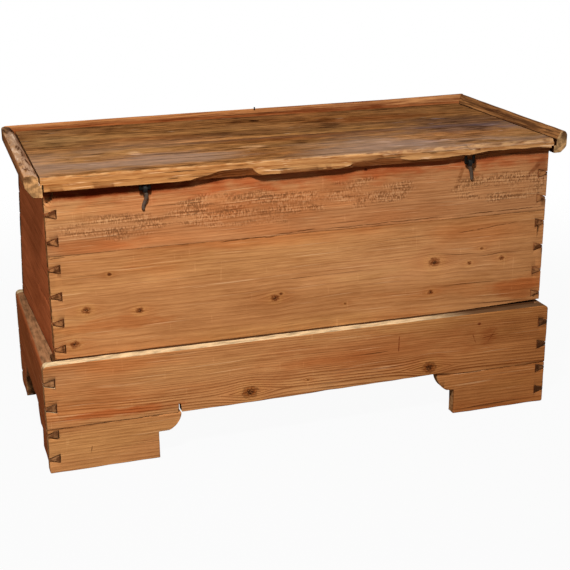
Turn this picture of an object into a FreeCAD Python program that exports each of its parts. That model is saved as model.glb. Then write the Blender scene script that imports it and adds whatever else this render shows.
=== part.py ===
import FreeCAD, Part
import math
import os

# Softwood blanket chest: a dovetailed box standing loose on a dovetailed plinth with bracket
# feet, under a lid of two planks with a moulding along its front and both ends.
# X runs along the chest, -Y is the back with the hinge irons, +Y is the front, Z is up.
# The origin is on the floor, in the middle of everything the chest covers.

V = FreeCAD.Vector
ALONG_X = V(1, 0, 0)
ALONG_Y = V(0, 1, 0)
ALONG_Z = V(0, 0, 1)

# Plinth
plinth_length = 1300.0
plinth_depth = 577.0
plinth_height = 272.0
plinth_board = 26.0
plinth_shift = 10.0          # how far the loose body has slipped to +X
apron_bottom = 112.0         # lower edge of the aprons, above the floor
foot_length = 263.0          # bracket feet of the long sides
side_foot_length = 110.0     # bracket feet of the ends
side_foot_lift = 22.0        # the end feet stop short of the floor
foot_step = 68.0             # underside of the rounded lobe beside each foot
lobe_length = 56.0
lobe_flat = 20.0             # straight underside of the lobe before its curve starts
lobe_bulge = 9.0             # how far the curve bows out from a straight cut
kerf_width = 3.0             # saw cut left open in the back apron beside its left lobe
kerf_height = 22.0
ledger_height = 45.0
ledger_margin = 13.0         # how far a ledger reaches inside the wall that stands on it
ledger_rise = 2.0            # ledgers stand this much above the plinth boards

# Body
back_ledge = 27.0            # plinth top left bare along the back and the front
end_ledge = 23.5             # plinth top left bare at each end, before the slip
body_height = 399.0
wall = 26.0
floor_thickness = 22.0
floor_rise = 40.0            # underside of the floor above the body's lower edge
groove_depth = 8.0
floor_boards = 3

# Through dovetails, seen as pins on the back and the front
pin_wide = 22.0
pin_narrow = 7.0
pin_pitch = 63.0             # about, from one pin to the next
body_pin_low = 23.0          # lowest pin above the body's lower edge
body_pin_high = 56.0         # highest pin below the body's top
long_plank_width = 247.0     # lower plank of the back and the front, to its joint between two pins
end_plank_width = 119.0      # lower plank of the ends, to its joint between two pins
foot_pin_low = 36.0          # lowest pin above the floor
foot_pin_high = 15.0         # highest pin below the foot's top
apron_pin_low = 52.0         # lowest pin above the apron's lower edge
apron_pin_high = 46.0        # highest pin below the apron's top

# Lid
lid_thickness = 34.5
lid_overhang = 18.0          # over the back, where the lid has no moulding
lid_split = 264.0            # width of the back plank
lip_clearance = 2.5          # between the mouldings' lips and the walls
lip_drop = 11.0              # how far the lips hang below the lid
tongue_length = 7.0
tongue_thickness = 18.0
moulding_width = 38.0
moulding_rise = 14.0         # crest of the moulding above the lid
moulding_foot = 22.0         # flat underside of the moulding
moulding_waist = 12.5        # chamfer's upper edge above the lid's underside
crest_radius = 8.0

# Hinge irons
hinge_inset = 224.5          # from the body's end to the middle of a hinge
hinge_drop = 11.0            # axis below the lid
hinge_reach = 10.0           # axis behind the back wall
bar_diameter = 7.0
staple_width = 28.0
staple_depth = 24.0          # legs in the lid
eye_diameter = 16.0
eye_width = 9.0
shank_diameter = 6.4
eye_shank_depth = 20.0       # shank in the wall
tail_length = 52.0           # leg hanging from the eye, measured from the axis
tail_tip_diameter = 3.6
tail_rings = 7
left_tail_sway = 4.5         # the left leg has an S-bend
left_tail_drift = 1.5
right_tail_drift = 5.0       # the right leg hangs straight but askew

# Nails
nail_diameter = 3.8
nail_head_diameter = 9.0
nail_head = 2.0
moulding_nail_length = 58.0
ledger_nail_bite = 18.0
front_nails = 5
end_nails = 3
ledger_nails = 4
nail_end_margin = 90.0
bent_nail_length = 34.0
bent_nail_stand = 7.0
bent_nail_x = 21.0

# Clearances
joint_gap = 0.2              # wood to wood, and iron to its hole
lid_gap = 0.3                # closed lid above the walls
running_gap = 0.08           # hinge eye round its bar
overcut = 5.0                # how far a cutting shape passes the face it opens

# Lengths and levels that follow
body_length = plinth_length - 2 * end_ledge
body_depth = plinth_depth - 2 * back_ledge
ledger_width = back_ledge + wall - plinth_board + ledger_margin
ledger_top = plinth_height + ledger_rise
body_bottom = ledger_top + joint_gap
body_top = body_bottom + body_height
floor_bottom = body_bottom + floor_rise
lid_bottom = body_top + lid_gap
lid_top = lid_bottom + lid_thickness
tongue_bottom = lid_top - tongue_thickness

# Places that follow, with Y measured from the middle of the chest's whole depth
plinth_back = -(plinth_depth - back_ledge + lip_clearance + moulding_width) / 2
plinth_front = plinth_back + plinth_depth
plinth_left = -plinth_length / 2 - plinth_shift
plinth_right = plinth_left + plinth_length
body_back = plinth_back + back_ledge
body_front = body_back + body_depth
body_left = -body_length / 2
body_right = body_length / 2
lid_back = body_back - lid_overhang
lid_joint = lid_back + lid_split
lip_right = body_right + lip_clearance
lip_front = body_front + lip_clearance
hinge_y = body_back - hinge_reach
hinge_z = lid_bottom - hinge_drop

nodes = {}


def block(x0, x1, y0, y1, z0, z1):
    return Part.makeBox(x1 - x0, y1 - y0, z1 - z0, V(x0, y0, z0))


def prism(points, travel):
    """Solid made by pushing a closed outline of straight edges along a vector."""
    outline = Part.makePolygon(points + points[:1])
    return Part.Face(outline).extrude(travel)


def spread(first, last, count):
    """Evenly spaced places from first to last."""
    step = (last - first) / (count - 1)
    return [first + step * index for index in range(count)]


def pin_row(lowest, highest):
    """Heights of a row of pins, as many as their pitch gives between the lowest and the highest."""
    steps = round((highest - lowest) / pin_pitch)
    if steps < 1:
        return [(lowest + highest) / 2]
    return spread(lowest, highest, steps + 1)


def joined(shapes):
    solid = shapes[0].fuse(shapes[1:])
    return solid.removeSplitter()


def pin(x_out, inward, board, z, y0, y1, gap):
    """Dovetail pin of an end board: narrow at the corner x_out, wide at the board's inner face."""
    outer = overcut if gap else 0.0
    slope = (pin_wide - pin_narrow) / 2 / board
    narrow_half = pin_narrow / 2 - slope * outer + gap
    wide_half = pin_wide / 2 + gap
    x_narrow = x_out - inward * outer
    x_wide = x_out + inward * (board + gap)
    y_start = y0 - outer
    y_end = y1 + outer
    outline = [
        V(x_narrow, y_start, z - narrow_half),
        V(x_wide, y_start, z - wide_half),
        V(x_wide, y_start, z + wide_half),
        V(x_narrow, y_start, z + narrow_half),
    ]
    return prism(outline, V(0, y_end - y_start, 0))


def cut_sockets(board_solid, x_left, x_right, y0, y1, board, heights):
    """Opens the sockets for the end boards' pins at both ends of a long board."""
    sockets = []
    for z in heights:
        sockets.append(pin(x_left, 1, board, z, y0, y1, joint_gap))
        sockets.append(pin(x_right, -1, board, z, y0, y1, joint_gap))
    return board_solid.cut(sockets)


def add_pins(board_solid, x_out, inward, board, y_back, y_front, heights):
    """Gives an end board its pins, which reach through the boards at the back and the front."""
    pieces = [board_solid]
    for z in heights:
        pieces.append(pin(x_out, inward, board, z, y_back, y_back + board + joint_gap, 0))
        pieces.append(pin(x_out, inward, board, z, y_front - board - joint_gap, y_front, 0))
    return joined(pieces)


def between(heights, low, high):
    return [z for z in heights if low < z < high]


def nail(start, direction, length):
    """Nail whose head lies flush with the face at start."""
    head = Part.makeCylinder(nail_head_diameter / 2, nail_head, start, direction)
    shank = Part.makeCylinder(nail_diameter / 2, length, start, direction)
    return joined([head, shank])


def nail_hole(start, direction, length):
    """Room for a nail, a joint gap larger all round and open past the face at start."""
    face = start - direction * overcut
    head_room = nail_head + joint_gap + overcut
    shank_room = length + joint_gap + overcut
    head = Part.makeCylinder(nail_head_diameter / 2 + joint_gap, head_room, face, direction)
    shank = Part.makeCylinder(nail_diameter / 2 + joint_gap, shank_room, face, direction)
    return joined([head, shank])


def foot_outline(length, bottom, reach):
    """Edges of a bracket foot in its own plane: reach(along, up) gives a point in space."""
    lobe_end = length + lobe_length
    lobe_start = length + lobe_flat
    run = lobe_end - lobe_start
    rise = apron_bottom - foot_step
    chord = math.hypot(run, rise)
    lobe_mid = reach(
        lobe_start + run / 2 + lobe_bulge * rise / chord,
        foot_step + rise / 2 - lobe_bulge * run / chord,
    )
    corners = [
        reach(0, apron_bottom - joint_gap),
        reach(0, bottom),
        reach(length, bottom),
        reach(length, foot_step),
        reach(lobe_start, foot_step),
    ]
    edges = [Part.makeLine(a, b) for a, b in zip(corners, corners[1:])]
    tip = reach(lobe_end, apron_bottom - joint_gap)
    edges.append(Part.Arc(corners[-1], lobe_mid, tip).toShape())
    edges.append(Part.makeLine(tip, corners[0]))
    return Part.Wire(edges)


# Plinth


def make_plinth_long_side(side, y0):
    """Apron and two bracket feet of the back or the front, with sockets for the ends' pins."""
    y1 = y0 + plinth_board
    apron = block(plinth_left, plinth_right, y0, y1, apron_bottom, plinth_height)
    nodes[side + "_apron"] = cut_sockets(
        apron, plinth_left, plinth_right, y0, y1, plinth_board, apron_pin_heights
    )
    for end, corner, inward in (("left", plinth_left, 1), ("right", plinth_right, -1)):
        outline = foot_outline(
            foot_length, 0.0, lambda along, up: V(corner + inward * along, y0, up)
        )
        foot = Part.Face(outline).extrude(V(0, plinth_board, 0))
        sockets = [pin(corner, inward, plinth_board, z, y0, y1, joint_gap) for z in foot_pin_heights]
        nodes[side + "_" + end + "_foot"] = foot.cut(sockets)


def make_plinth_end(end, x_out, inward):
    """Apron and two short feet of an end, with pins through the back and the front."""
    x_in = x_out + inward * plinth_board
    x0 = min(x_out, x_in)
    x1 = max(x_out, x_in)
    y_back = plinth_back + plinth_board + joint_gap
    y_front = plinth_front - plinth_board - joint_gap
    apron = block(x0, x1, y_back, y_front, apron_bottom, plinth_height)
    nodes[end + "_end_apron"] = add_pins(
        apron, x_out, inward, plinth_board, plinth_back, plinth_front, apron_pin_heights
    )
    for side, shoulder, toward, y_out in (
        ("back", y_back, 1, plinth_back),
        ("front", y_front, -1, plinth_front),
    ):
        outline = foot_outline(
            side_foot_length - plinth_board,
            side_foot_lift,
            lambda along, up: V(x0, shoulder + toward * along, up),
        )
        pieces = [Part.Face(outline).extrude(V(plinth_board, 0, 0))]
        y_low = min(y_out, shoulder)
        y_high = max(y_out, shoulder)
        for z in foot_pin_heights:
            pieces.append(pin(x_out, inward, plinth_board, z, y_low, y_high, 0))
        nodes[end + "_end_" + side + "_foot"] = joined(pieces)


def cut_kerf():
    """Opens the saw cut above the end of the back left foot's lobe."""
    kerf_x = plinth_left + foot_length + lobe_length - 2 * kerf_width
    kerf = block(
        kerf_x, kerf_x + kerf_width,
        plinth_back - overcut, plinth_back + plinth_board + overcut,
        apron_bottom - overcut, apron_bottom + kerf_height,
    )
    nodes["back_apron"] = nodes["back_apron"].cut(kerf)


def make_ledgers():
    """Rails nailed inside the back and front aprons: the body stands on them."""
    x0 = plinth_left + plinth_board + joint_gap
    x1 = plinth_right - plinth_board - joint_gap
    z0 = ledger_top - ledger_height
    nail_z = (z0 + plinth_height) / 2
    nail_length = ledger_width + joint_gap + ledger_nail_bite
    nails = []
    for side, outer, inward in (
        ("back", plinth_back + plinth_board + joint_gap, 1),
        ("front", plinth_front - plinth_board - joint_gap, -1),
    ):
        inner = outer + inward * ledger_width
        ledger = block(x0, x1, min(outer, inner), max(outer, inner), z0, ledger_top)
        holes = []
        for x in spread(x0 + nail_end_margin, x1 - nail_end_margin, ledger_nails):
            start = V(x, inner, nail_z)
            nails.append(nail(start, ALONG_Y * -inward, nail_length))
            holes.append(nail_hole(start, ALONG_Y * -inward, nail_length))
        nodes[side + "_ledger"] = ledger.cut(holes)
        nodes[side + "_apron"] = nodes[side + "_apron"].cut(holes)
    nodes["ledger_nails"] = Part.makeCompound(nails)


# Body


def floor_room(gap):
    """Space of the floor with its edges in the walls' grooves."""
    inset = wall - groove_depth + joint_gap - gap
    return block(
        body_left + inset, body_right - inset,
        body_back + inset, body_front - inset,
        floor_bottom - gap, floor_bottom + floor_thickness + gap,
    )


def plank_levels(lower_width):
    """Lower and upper plank of a wall, as name, bottom and top. The joint lies midway between two pins."""
    mids = [(low + high) / 2 for low, high in zip(body_pin_heights, body_pin_heights[1:])]
    level = min(mids, key=lambda z: abs(z - body_bottom - lower_width))
    return (
        ("lower", body_bottom, level - joint_gap / 2),
        ("upper", level + joint_gap / 2, body_top),
    )


def make_long_wall(side, y0):
    y1 = y0 + wall
    for plank_name, z0, z1 in plank_levels(long_plank_width):
        plank = block(body_left, body_right, y0, y1, z0, z1)
        heights = between(body_pin_heights, z0, z1)
        plank = cut_sockets(plank, body_left, body_right, y0, y1, wall, heights)
        nodes[side + "_" + plank_name + "_plank"] = plank.cut(floor_room(joint_gap))


def make_end_wall(end, x_out, inward):
    x_in = x_out + inward * wall
    y0 = body_back + wall + joint_gap
    y1 = body_front - wall - joint_gap
    for plank_name, z0, z1 in plank_levels(end_plank_width):
        plank = block(min(x_out, x_in), max(x_out, x_in), y0, y1, z0, z1)
        heights = between(body_pin_heights, z0, z1)
        plank = add_pins(plank, x_out, inward, wall, body_back, body_front, heights)
        nodes[end + "_end_" + plank_name + "_plank"] = plank.cut(floor_room(joint_gap))


def make_floor():
    room = floor_room(0).BoundBox
    board_width = (room.YLength - (floor_boards - 1) * joint_gap) / floor_boards
    for index in range(floor_boards):
        y0 = room.YMin + index * (board_width + joint_gap)
        nodes["floor_board_" + str(index + 1)] = block(
            room.XMin, room.XMax, y0, y0 + board_width, room.ZMin, room.ZMax
        )


# Lid


def make_lid_planks():
    """Two planks, stepped at the ends and the front so a tongue lies on the mouldings' lips."""
    low_x = lip_right - joint_gap
    high_x = lip_right + tongue_length - joint_gap
    low_front = lip_front - joint_gap
    high_front = lip_front + tongue_length - joint_gap
    tongue_z = tongue_bottom + joint_gap
    for plank_name, y0, y_low, y_high in (
        ("back", lid_back, lid_joint - joint_gap, lid_joint - joint_gap),
        ("front", lid_joint, low_front, high_front),
    ):
        thick = block(-low_x, low_x, y0, y_low, lid_bottom, lid_top)
        tongue = block(-high_x, high_x, y0, y_high, tongue_z, lid_top)
        nodes["lid_" + plank_name + "_plank"] = joined([thick, tongue])


def moulding_section(place):
    """Section of the moulding: place(out, z) gives a point, out measured from the lip's inner face."""
    crest_z = lid_top + moulding_rise
    bend = crest_radius * (1 - math.sqrt(0.5))
    corners = [
        place(moulding_width - crest_radius, crest_z),
        place(tongue_length, lid_top),
        place(tongue_length, tongue_bottom),
        place(0, tongue_bottom),
        place(0, lid_bottom - lip_drop),
        place(moulding_foot, lid_bottom - lip_drop),
        place(moulding_width, lid_bottom + moulding_waist),
        place(moulding_width, crest_z - crest_radius),
    ]
    edges = [Part.makeLine(a, b) for a, b in zip(corners, corners[1:])]
    crest_mid = place(moulding_width - bend, crest_z - bend)
    edges.append(Part.Arc(corners[-1], crest_mid, corners[0]).toShape())
    return Part.Face(Part.Wire(edges))


def make_mouldings():
    """Front and end mouldings, mitred at the two front corners."""
    outer_x = lip_right + moulding_width
    outer_front = lip_front + moulding_width
    low = lid_bottom - lip_drop - overcut
    tall = V(0, 0, lid_top + moulding_rise + overcut - low)
    front = moulding_section(lambda out, z: V(-outer_x, lip_front + out, z))
    front = front.extrude(V(2 * outer_x, 0, 0))
    front_plan = [
        V(-lip_right, lip_front, low),
        V(lip_right, lip_front, low),
        V(outer_x, outer_front, low),
        V(-outer_x, outer_front, low),
    ]
    nodes["front_moulding"] = front.common(prism(front_plan, tall))
    for end, outward in (("left", -1), ("right", 1)):
        bar = moulding_section(lambda out, z: V(outward * (lip_right + out), lid_back, z))
        bar = bar.extrude(V(0, outer_front - lid_back, 0))
        plan = [
            V(outward * lip_right, lid_back, low),
            V(outward * lip_right, lip_front - joint_gap, low),
            V(outward * outer_x, outer_front - joint_gap, low),
            V(outward * outer_x, lid_back, low),
        ]
        nodes[end + "_moulding"] = bar.common(prism(plan, tall))


def nail_mouldings():
    """Nails through the mouldings into the lid's edges, and one that stands up bent on the front."""
    z = lid_top - tongue_thickness / 2
    outer_x = lip_right + moulding_width
    outer_front = lip_front + moulding_width
    drives = []
    for x in spread(-outer_x + nail_end_margin, outer_x - nail_end_margin, front_nails):
        drives.append((V(x, outer_front, z), ALONG_Y * -1))
    for y in spread(lid_back + nail_end_margin, lip_front - nail_end_margin, end_nails):
        drives.append((V(-outer_x, y, z), ALONG_X))
        drives.append((V(outer_x, y, z), ALONG_X * -1))
    nails = [nail(start, way, moulding_nail_length) for start, way in drives]
    holes = [nail_hole(start, way, moulding_nail_length) for start, way in drives]
    for name in ("front_moulding", "left_moulding", "right_moulding", "lid_back_plank", "lid_front_plank"):
        nodes[name] = nodes[name].cut(holes)
    nodes["moulding_nails"] = Part.makeCompound(nails)
    bent_nail_y = outer_front - crest_radius - nail_diameter
    top = V(bent_nail_x, bent_nail_y, lid_top + moulding_rise + bent_nail_stand)
    nodes["bent_nail"] = Part.makeCylinder(nail_diameter / 2, bent_nail_length, top, ALONG_Z * -1)
    hole = Part.makeCylinder(
        nail_diameter / 2 + joint_gap, bent_nail_length + joint_gap, top, ALONG_Z * -1
    )
    nodes["front_moulding"] = nodes["front_moulding"].cut(hole)


# Hinge irons


def hinge_tail(x, sway, drift):
    """Tapering leg that hangs from the eye and lies against the back wall."""
    top_radius = shank_diameter / 2
    tip_radius = tail_tip_diameter / 2
    top_z = hinge_z - (eye_diameter + bar_diameter) / 4
    tip_z = hinge_z - tail_length
    rings = []
    for down in spread(0.0, 1.0, tail_rings):
        radius = top_radius + (tip_radius - top_radius) * down
        rest_y = body_back - joint_gap - radius
        ring_x = x + sway * math.sin(down * math.pi * 1.5) + drift * down
        ring_y = hinge_y + (rest_y - hinge_y) * math.sin(down * math.pi / 2)
        centre = V(ring_x, ring_y, top_z + (tip_z - top_z) * down)
        rings.append(Part.Wire(Part.makeCircle(radius, centre, ALONG_Z)))
    return Part.makeLoft(rings, True)


def make_hinge_eye(end, x, sway, drift):
    """Eye on a shank driven into the back wall, with a leg bent down outside."""
    bore_radius = bar_diameter / 2 + running_gap
    ring_left = x - eye_width / 2
    ring = Part.makeCylinder(eye_diameter / 2, eye_width, V(ring_left, hinge_y, hinge_z), ALONG_X)
    bore = Part.makeCylinder(
        bore_radius, eye_width + 2 * overcut, V(ring_left - overcut, hinge_y, hinge_z), ALONG_X
    )
    shank_start = V(x, hinge_y + bore_radius, hinge_z)
    shank_length = hinge_reach + eye_shank_depth - bore_radius
    shank = Part.makeCylinder(shank_diameter / 2, shank_length, shank_start, ALONG_Y)
    nodes[end + "_hinge_eye"] = joined([ring, shank, hinge_tail(x, sway, drift)]).cut(bore)
    hole = Part.makeCylinder(
        shank_diameter / 2 + joint_gap, shank_length + joint_gap, shank_start, ALONG_Y
    )
    nodes["back_upper_plank"] = nodes["back_upper_plank"].cut(hole)


def make_hinge_staple(end, x):
    """Staple driven up into the lid: its bar passes through the eye."""
    bar_radius = bar_diameter / 2
    half_span = staple_width / 2 - bar_radius
    leg_length = hinge_drop + staple_depth
    bar_start = V(x - half_span, hinge_y, hinge_z)
    pieces = [Part.makeCylinder(bar_radius, 2 * half_span, bar_start, ALONG_X)]
    holes = []
    for leg_x in (x - half_span, x + half_span):
        bend = V(leg_x, hinge_y, hinge_z)
        pieces.append(Part.makeSphere(bar_radius, bend))
        pieces.append(Part.makeCylinder(bar_radius, leg_length, bend, ALONG_Z))
        holes.append(
            Part.makeCylinder(bar_radius + joint_gap, leg_length + joint_gap, bend, ALONG_Z)
        )
    nodes[end + "_hinge_staple"] = joined(pieces)
    nodes["lid_back_plank"] = nodes["lid_back_plank"].cut(holes)


body_pin_heights = pin_row(body_bottom + body_pin_low, body_top - body_pin_high)
foot_pin_heights = pin_row(foot_pin_low, apron_bottom - foot_pin_high)
apron_pin_heights = pin_row(apron_bottom + apron_pin_low, plinth_height - apron_pin_high)

make_plinth_long_side("back", plinth_back)
make_plinth_long_side("front", plinth_front - plinth_board)
make_plinth_end("left", plinth_left, 1)
make_plinth_end("right", plinth_right, -1)
cut_kerf()
make_ledgers()

make_long_wall("back", body_back)
make_long_wall("front", body_front - wall)
make_end_wall("left", body_left, 1)
make_end_wall("right", body_right, -1)
make_floor()

make_lid_planks()
make_mouldings()
nail_mouldings()

make_hinge_eye("left", body_left + hinge_inset, left_tail_sway, left_tail_drift)
make_hinge_eye("right", body_right - hinge_inset, 0.0, right_tail_drift)
make_hinge_staple("left", body_left + hinge_inset)
make_hinge_staple("right", body_right - hinge_inset)

os.makedirs("parts", exist_ok=True)
for name, shape in nodes.items():
    shape.exportStep("parts/" + name + ".step")
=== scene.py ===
import math

import bmesh
import bpy
from mathutils import Matrix, Vector, noise


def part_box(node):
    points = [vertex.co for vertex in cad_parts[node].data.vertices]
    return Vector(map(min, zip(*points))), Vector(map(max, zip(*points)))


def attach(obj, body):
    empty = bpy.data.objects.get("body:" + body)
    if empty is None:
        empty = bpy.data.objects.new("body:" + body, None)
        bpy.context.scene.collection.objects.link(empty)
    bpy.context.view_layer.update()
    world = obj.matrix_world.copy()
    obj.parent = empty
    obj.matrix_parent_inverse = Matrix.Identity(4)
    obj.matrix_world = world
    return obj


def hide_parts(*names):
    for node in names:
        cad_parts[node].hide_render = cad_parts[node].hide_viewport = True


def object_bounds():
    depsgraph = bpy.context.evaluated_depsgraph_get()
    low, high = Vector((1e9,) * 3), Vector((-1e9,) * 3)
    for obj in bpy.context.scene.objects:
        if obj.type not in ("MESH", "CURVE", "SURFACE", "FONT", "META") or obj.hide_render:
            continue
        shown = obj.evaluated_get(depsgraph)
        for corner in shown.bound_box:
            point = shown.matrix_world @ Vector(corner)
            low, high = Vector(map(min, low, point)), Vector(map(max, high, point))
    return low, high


# Softwood blanket chest, seen from the back: X along the chest, -Y the back, Z up, metres.
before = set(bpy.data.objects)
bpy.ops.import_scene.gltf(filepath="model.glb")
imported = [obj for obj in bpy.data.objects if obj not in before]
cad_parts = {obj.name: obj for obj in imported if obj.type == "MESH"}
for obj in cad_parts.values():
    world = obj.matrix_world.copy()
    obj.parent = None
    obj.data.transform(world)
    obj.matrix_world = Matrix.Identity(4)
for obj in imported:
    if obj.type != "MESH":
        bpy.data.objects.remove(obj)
cad_low, cad_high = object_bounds()

MM = 0.001
X, Y, Z = 0, 1, 2

# Camera
CAMERA_PLACE = Vector((-0.87345, -2.76561, 1.28113))
CAMERA_FORWARD = Vector((0.29004, 0.90196, -0.31992))
CAMERA_RIGHT = Vector((0.95137, -0.30798, -0.00579))
LENS = 72.67
SENSOR = 36.0

# Light
KEY_PLACE = Vector((-0.80, -1.66, 2.34))
KEY_AIM = Vector((-0.05, 0.0, 0.40))
KEY_SIZE = 0.34
KEY_POWER = 92.0
FILL_PLACE = Vector((-3.2, 0.3, 1.1))
FILL_AIM = Vector((-0.6, 0.0, 0.40))
FILL_SIZE = 1.6
FILL_POWER = 14.0
REAR_PLACE = Vector((1.3, 3.4, 0.75))
REAR_AIM = Vector((0.0, 0.3, 0.35))
REAR_SIZE = 1.8
REAR_POWER = 55.0
AMBIENT = 0.13
FLOOR_RADIUS = 3.0
FLOOR_FADE = 1.2             # where the floor starts to fade into the white background
FLOOR_TONE = 0.26
FLOOR_WHITE = 0.95           # share of plain white that the camera sees on the floor

# Mesh making
WELD = 1e-5
FLAT = math.radians(0.5)
SHARP = math.radians(25)
SMOOTH = math.radians(38)
SHORT_EDGE = 4 * MM
RIM_SUPPORT = 6 * MM
OUTLINE = 2.2 * MM
TOLERANCE = 1 * MM
EDGE_WEAR = 9 * MM           # feature sizes of the worn edges and of the dents, across and along the grain
EDGE_WEAR_ALONG = 45 * MM
DENTS = 70 * MM
DENTS_ALONG = 300 * MM


# Meshes


def wave(place, sizes, seed):
    """Smooth noise between -1 and 1, with a feature size for each axis."""
    scaled = Vector([place[i] / sizes[i] for i in range(3)])
    return noise.noise(scaled + Vector((seed * 7.31, seed * 3.17, seed * 5.73)))


def steps(low, high, spacing):
    """Evenly spaced places strictly between low and high."""
    count = max(1, round((high - low) / spacing))
    return [low + (high - low) * index / count for index in range(1, count)]


def slice_mesh(bm, axis, places):
    normal = Vector((0, 0, 0))
    normal[axis] = 1
    for place in places:
        whole = bm.verts[:] + bm.edges[:] + bm.faces[:]
        bmesh.ops.bisect_plane(bm, geom=whole, dist=1e-7, plane_co=normal * place, plane_no=normal)


def add_object(name, data):
    added = bpy.data.objects.new(name, data)
    bpy.context.scene.collection.objects.link(added)
    return added


def finish_piece(name, bm, material, body, nodes):
    """Turns a mesh under construction into a piece that stands for CAD nodes."""
    bmesh.ops.recalc_face_normals(bm, faces=bm.faces)
    mesh = bpy.data.meshes.new(name)
    bm.to_mesh(mesh)
    bm.free()
    mesh.materials.append(material)
    mesh.polygons.foreach_set("use_smooth", [True] * len(mesh.polygons))
    mesh.set_sharp_from_angle(angle=SMOOTH)
    piece = add_object(name, mesh)
    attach(piece, body)
    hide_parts(*nodes)
    return piece


def border_ends(bm, grain, rim_face):
    """Gives each end-grain face a narrow border, which shows as the dark outline of a dovetail."""
    bm.normal_update()
    ends = []
    for face in bm.faces:
        if face[rim_face] or abs(face.normal[grain]) < 0.98:
            continue
        across = [[vert.co[axis] for vert in face.verts] for axis in range(3) if axis != grain]
        if min(max(places) - min(places) for places in across) > 4 * OUTLINE:
            ends.append(face)
    bmesh.ops.inset_individual(bm, faces=ends, thickness=OUTLINE, use_even_offset=True)


def rounded_node(node, rounding, grain):
    """Mesh of a CAD node with rounded edges, and the layer that marks the faces of the rounding."""
    bm = bmesh.new()
    bm.from_mesh(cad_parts[node].data)
    bmesh.ops.remove_doubles(bm, verts=bm.verts, dist=WELD)
    bmesh.ops.dissolve_limit(bm, angle_limit=FLAT, verts=bm.verts, edges=bm.edges)
    sharp = [
        edge for edge in bm.edges
        if edge.is_manifold and edge.calc_face_angle_signed() > SHARP and edge.calc_length() > SHORT_EDGE
    ]
    rim_face = bm.faces.layers.int.new("rim_face")
    rounded = bmesh.ops.bevel(
        bm, geom=sharp, offset=rounding, offset_type="OFFSET", segments=2, profile=0.5,
        affect="EDGES", clamp_overlap=True,
    )
    for face in rounded["faces"]:
        face[rim_face] = 1
    border_ends(bm, grain, rim_face)
    return bm, rim_face


def divide(bm, node, grain, spacing, cuts):
    """Cuts a mesh finely along the grain, coarsely across it, and at the places in cuts."""
    low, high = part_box(node)
    for axis in range(3):
        places = [low[axis] + RIM_SUPPORT, high[axis] - RIM_SUPPORT]
        if axis == grain:
            places += steps(low[axis], high[axis], spacing)
        elif high[axis] - low[axis] > 4 * RIM_SUPPORT:
            places += steps(low[axis], high[axis], 4 * spacing)
        places += cuts.get(axis, [])
        slice_mesh(bm, axis, sorted(set(places)))
    bm.normal_update()


def worn(node, material, body="chest", grain=X, rounding=1.2 * MM, wear=1.2 * MM,
         dents=0.5 * MM, spacing=14 * MM, cuts=None, mould=None, swell=None, seed=0):
    """A CAD node with rounded, worn edges and uneven faces. Only swell moves a place outwards."""
    bm, rim_face = rounded_node(node, rounding, grain)
    divide(bm, node, grain, spacing, cuts or {})
    rim = bm.verts.layers.float.new("rim")
    fine = [EDGE_WEAR] * 3
    fine[grain] = EDGE_WEAR_ALONG
    broad = [DENTS] * 3
    broad[grain] = DENTS_ALONG
    moved = []
    for vert in bm.verts:
        edge_vert = any(face[rim_face] for face in vert.link_faces)
        vert[rim] = 1.0 if edge_vert else 0.0
        depth = dents * (0.5 + 0.5 * wave(vert.co, broad, seed))
        if edge_vert:
            depth += wear * max(0.0, wave(vert.co, fine, seed + 5) + 0.35)
        if swell:
            depth -= swell(vert.co)
        moved.append(vert.co - vert.normal * depth)
    for vert, place in zip(bm.verts, moved):
        vert.co = mould(place) if mould else place
    return finish_piece(node + "_worn", bm, material, body, [node])


def skin(loops):
    """Closed mesh through loops of equal length. A loop is a list of places with a rim value."""
    bm = bmesh.new()
    rim = bm.verts.layers.float.new("rim")
    rings = []
    for loop in loops:
        ring = []
        for place, rim_value in loop:
            vert = bm.verts.new(place)
            vert[rim] = rim_value
            ring.append(vert)
        rings.append(ring)
    for ring, following in zip(rings, rings[1:]):
        for index in range(len(ring)):
            after = (index + 1) % len(ring)
            bm.faces.new((ring[index], ring[after], following[after], following[index]))
    bm.faces.new(rings[0])
    bm.faces.new(list(reversed(rings[-1])))
    bmesh.ops.remove_doubles(bm, verts=bm.verts, dist=WELD)
    bmesh.ops.dissolve_degenerate(bm, edges=bm.edges, dist=WELD)
    return bm


def rounded_corner(place, corner, inward, radius, across, up):
    """Moves a place near a corner of an outline, in the plane of two axes, onto an arc."""
    du = (place[across] - corner[0]) * inward[0]
    dv = (place[up] - corner[1]) * inward[1]
    if du >= radius or dv >= radius:
        return place
    reach = Vector((radius - du, radius - dv))
    if reach.length <= radius:
        return place
    reach *= radius / reach.length
    moved = place.copy()
    moved[across] = corner[0] + inward[0] * (radius - reach.x)
    moved[up] = corner[1] + inward[1] * (radius - reach.y)
    return moved


def between(points, x):
    """Straight interpolation in a short list of (x, values...)."""
    if x <= points[0][0]:
        return points[0][1:]
    for before, after in zip(points, points[1:]):
        if x <= after[0]:
            share = (x - before[0]) / (after[0] - before[0])
            return tuple(a + (b - a) * share for a, b in zip(before[1:], after[1:]))
    return points[-1][1:]


def share_of(value, start, end):
    """Where value lies between start and end, kept between 0 and 1."""
    return min(1.0, max(0.0, (value - start) / (end - start)))


# Shader graphs

# Colour sockets of the mix node
MIX_FIRST = 6
MIX_SECOND = 7
MIX_RESULT = 2


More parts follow.
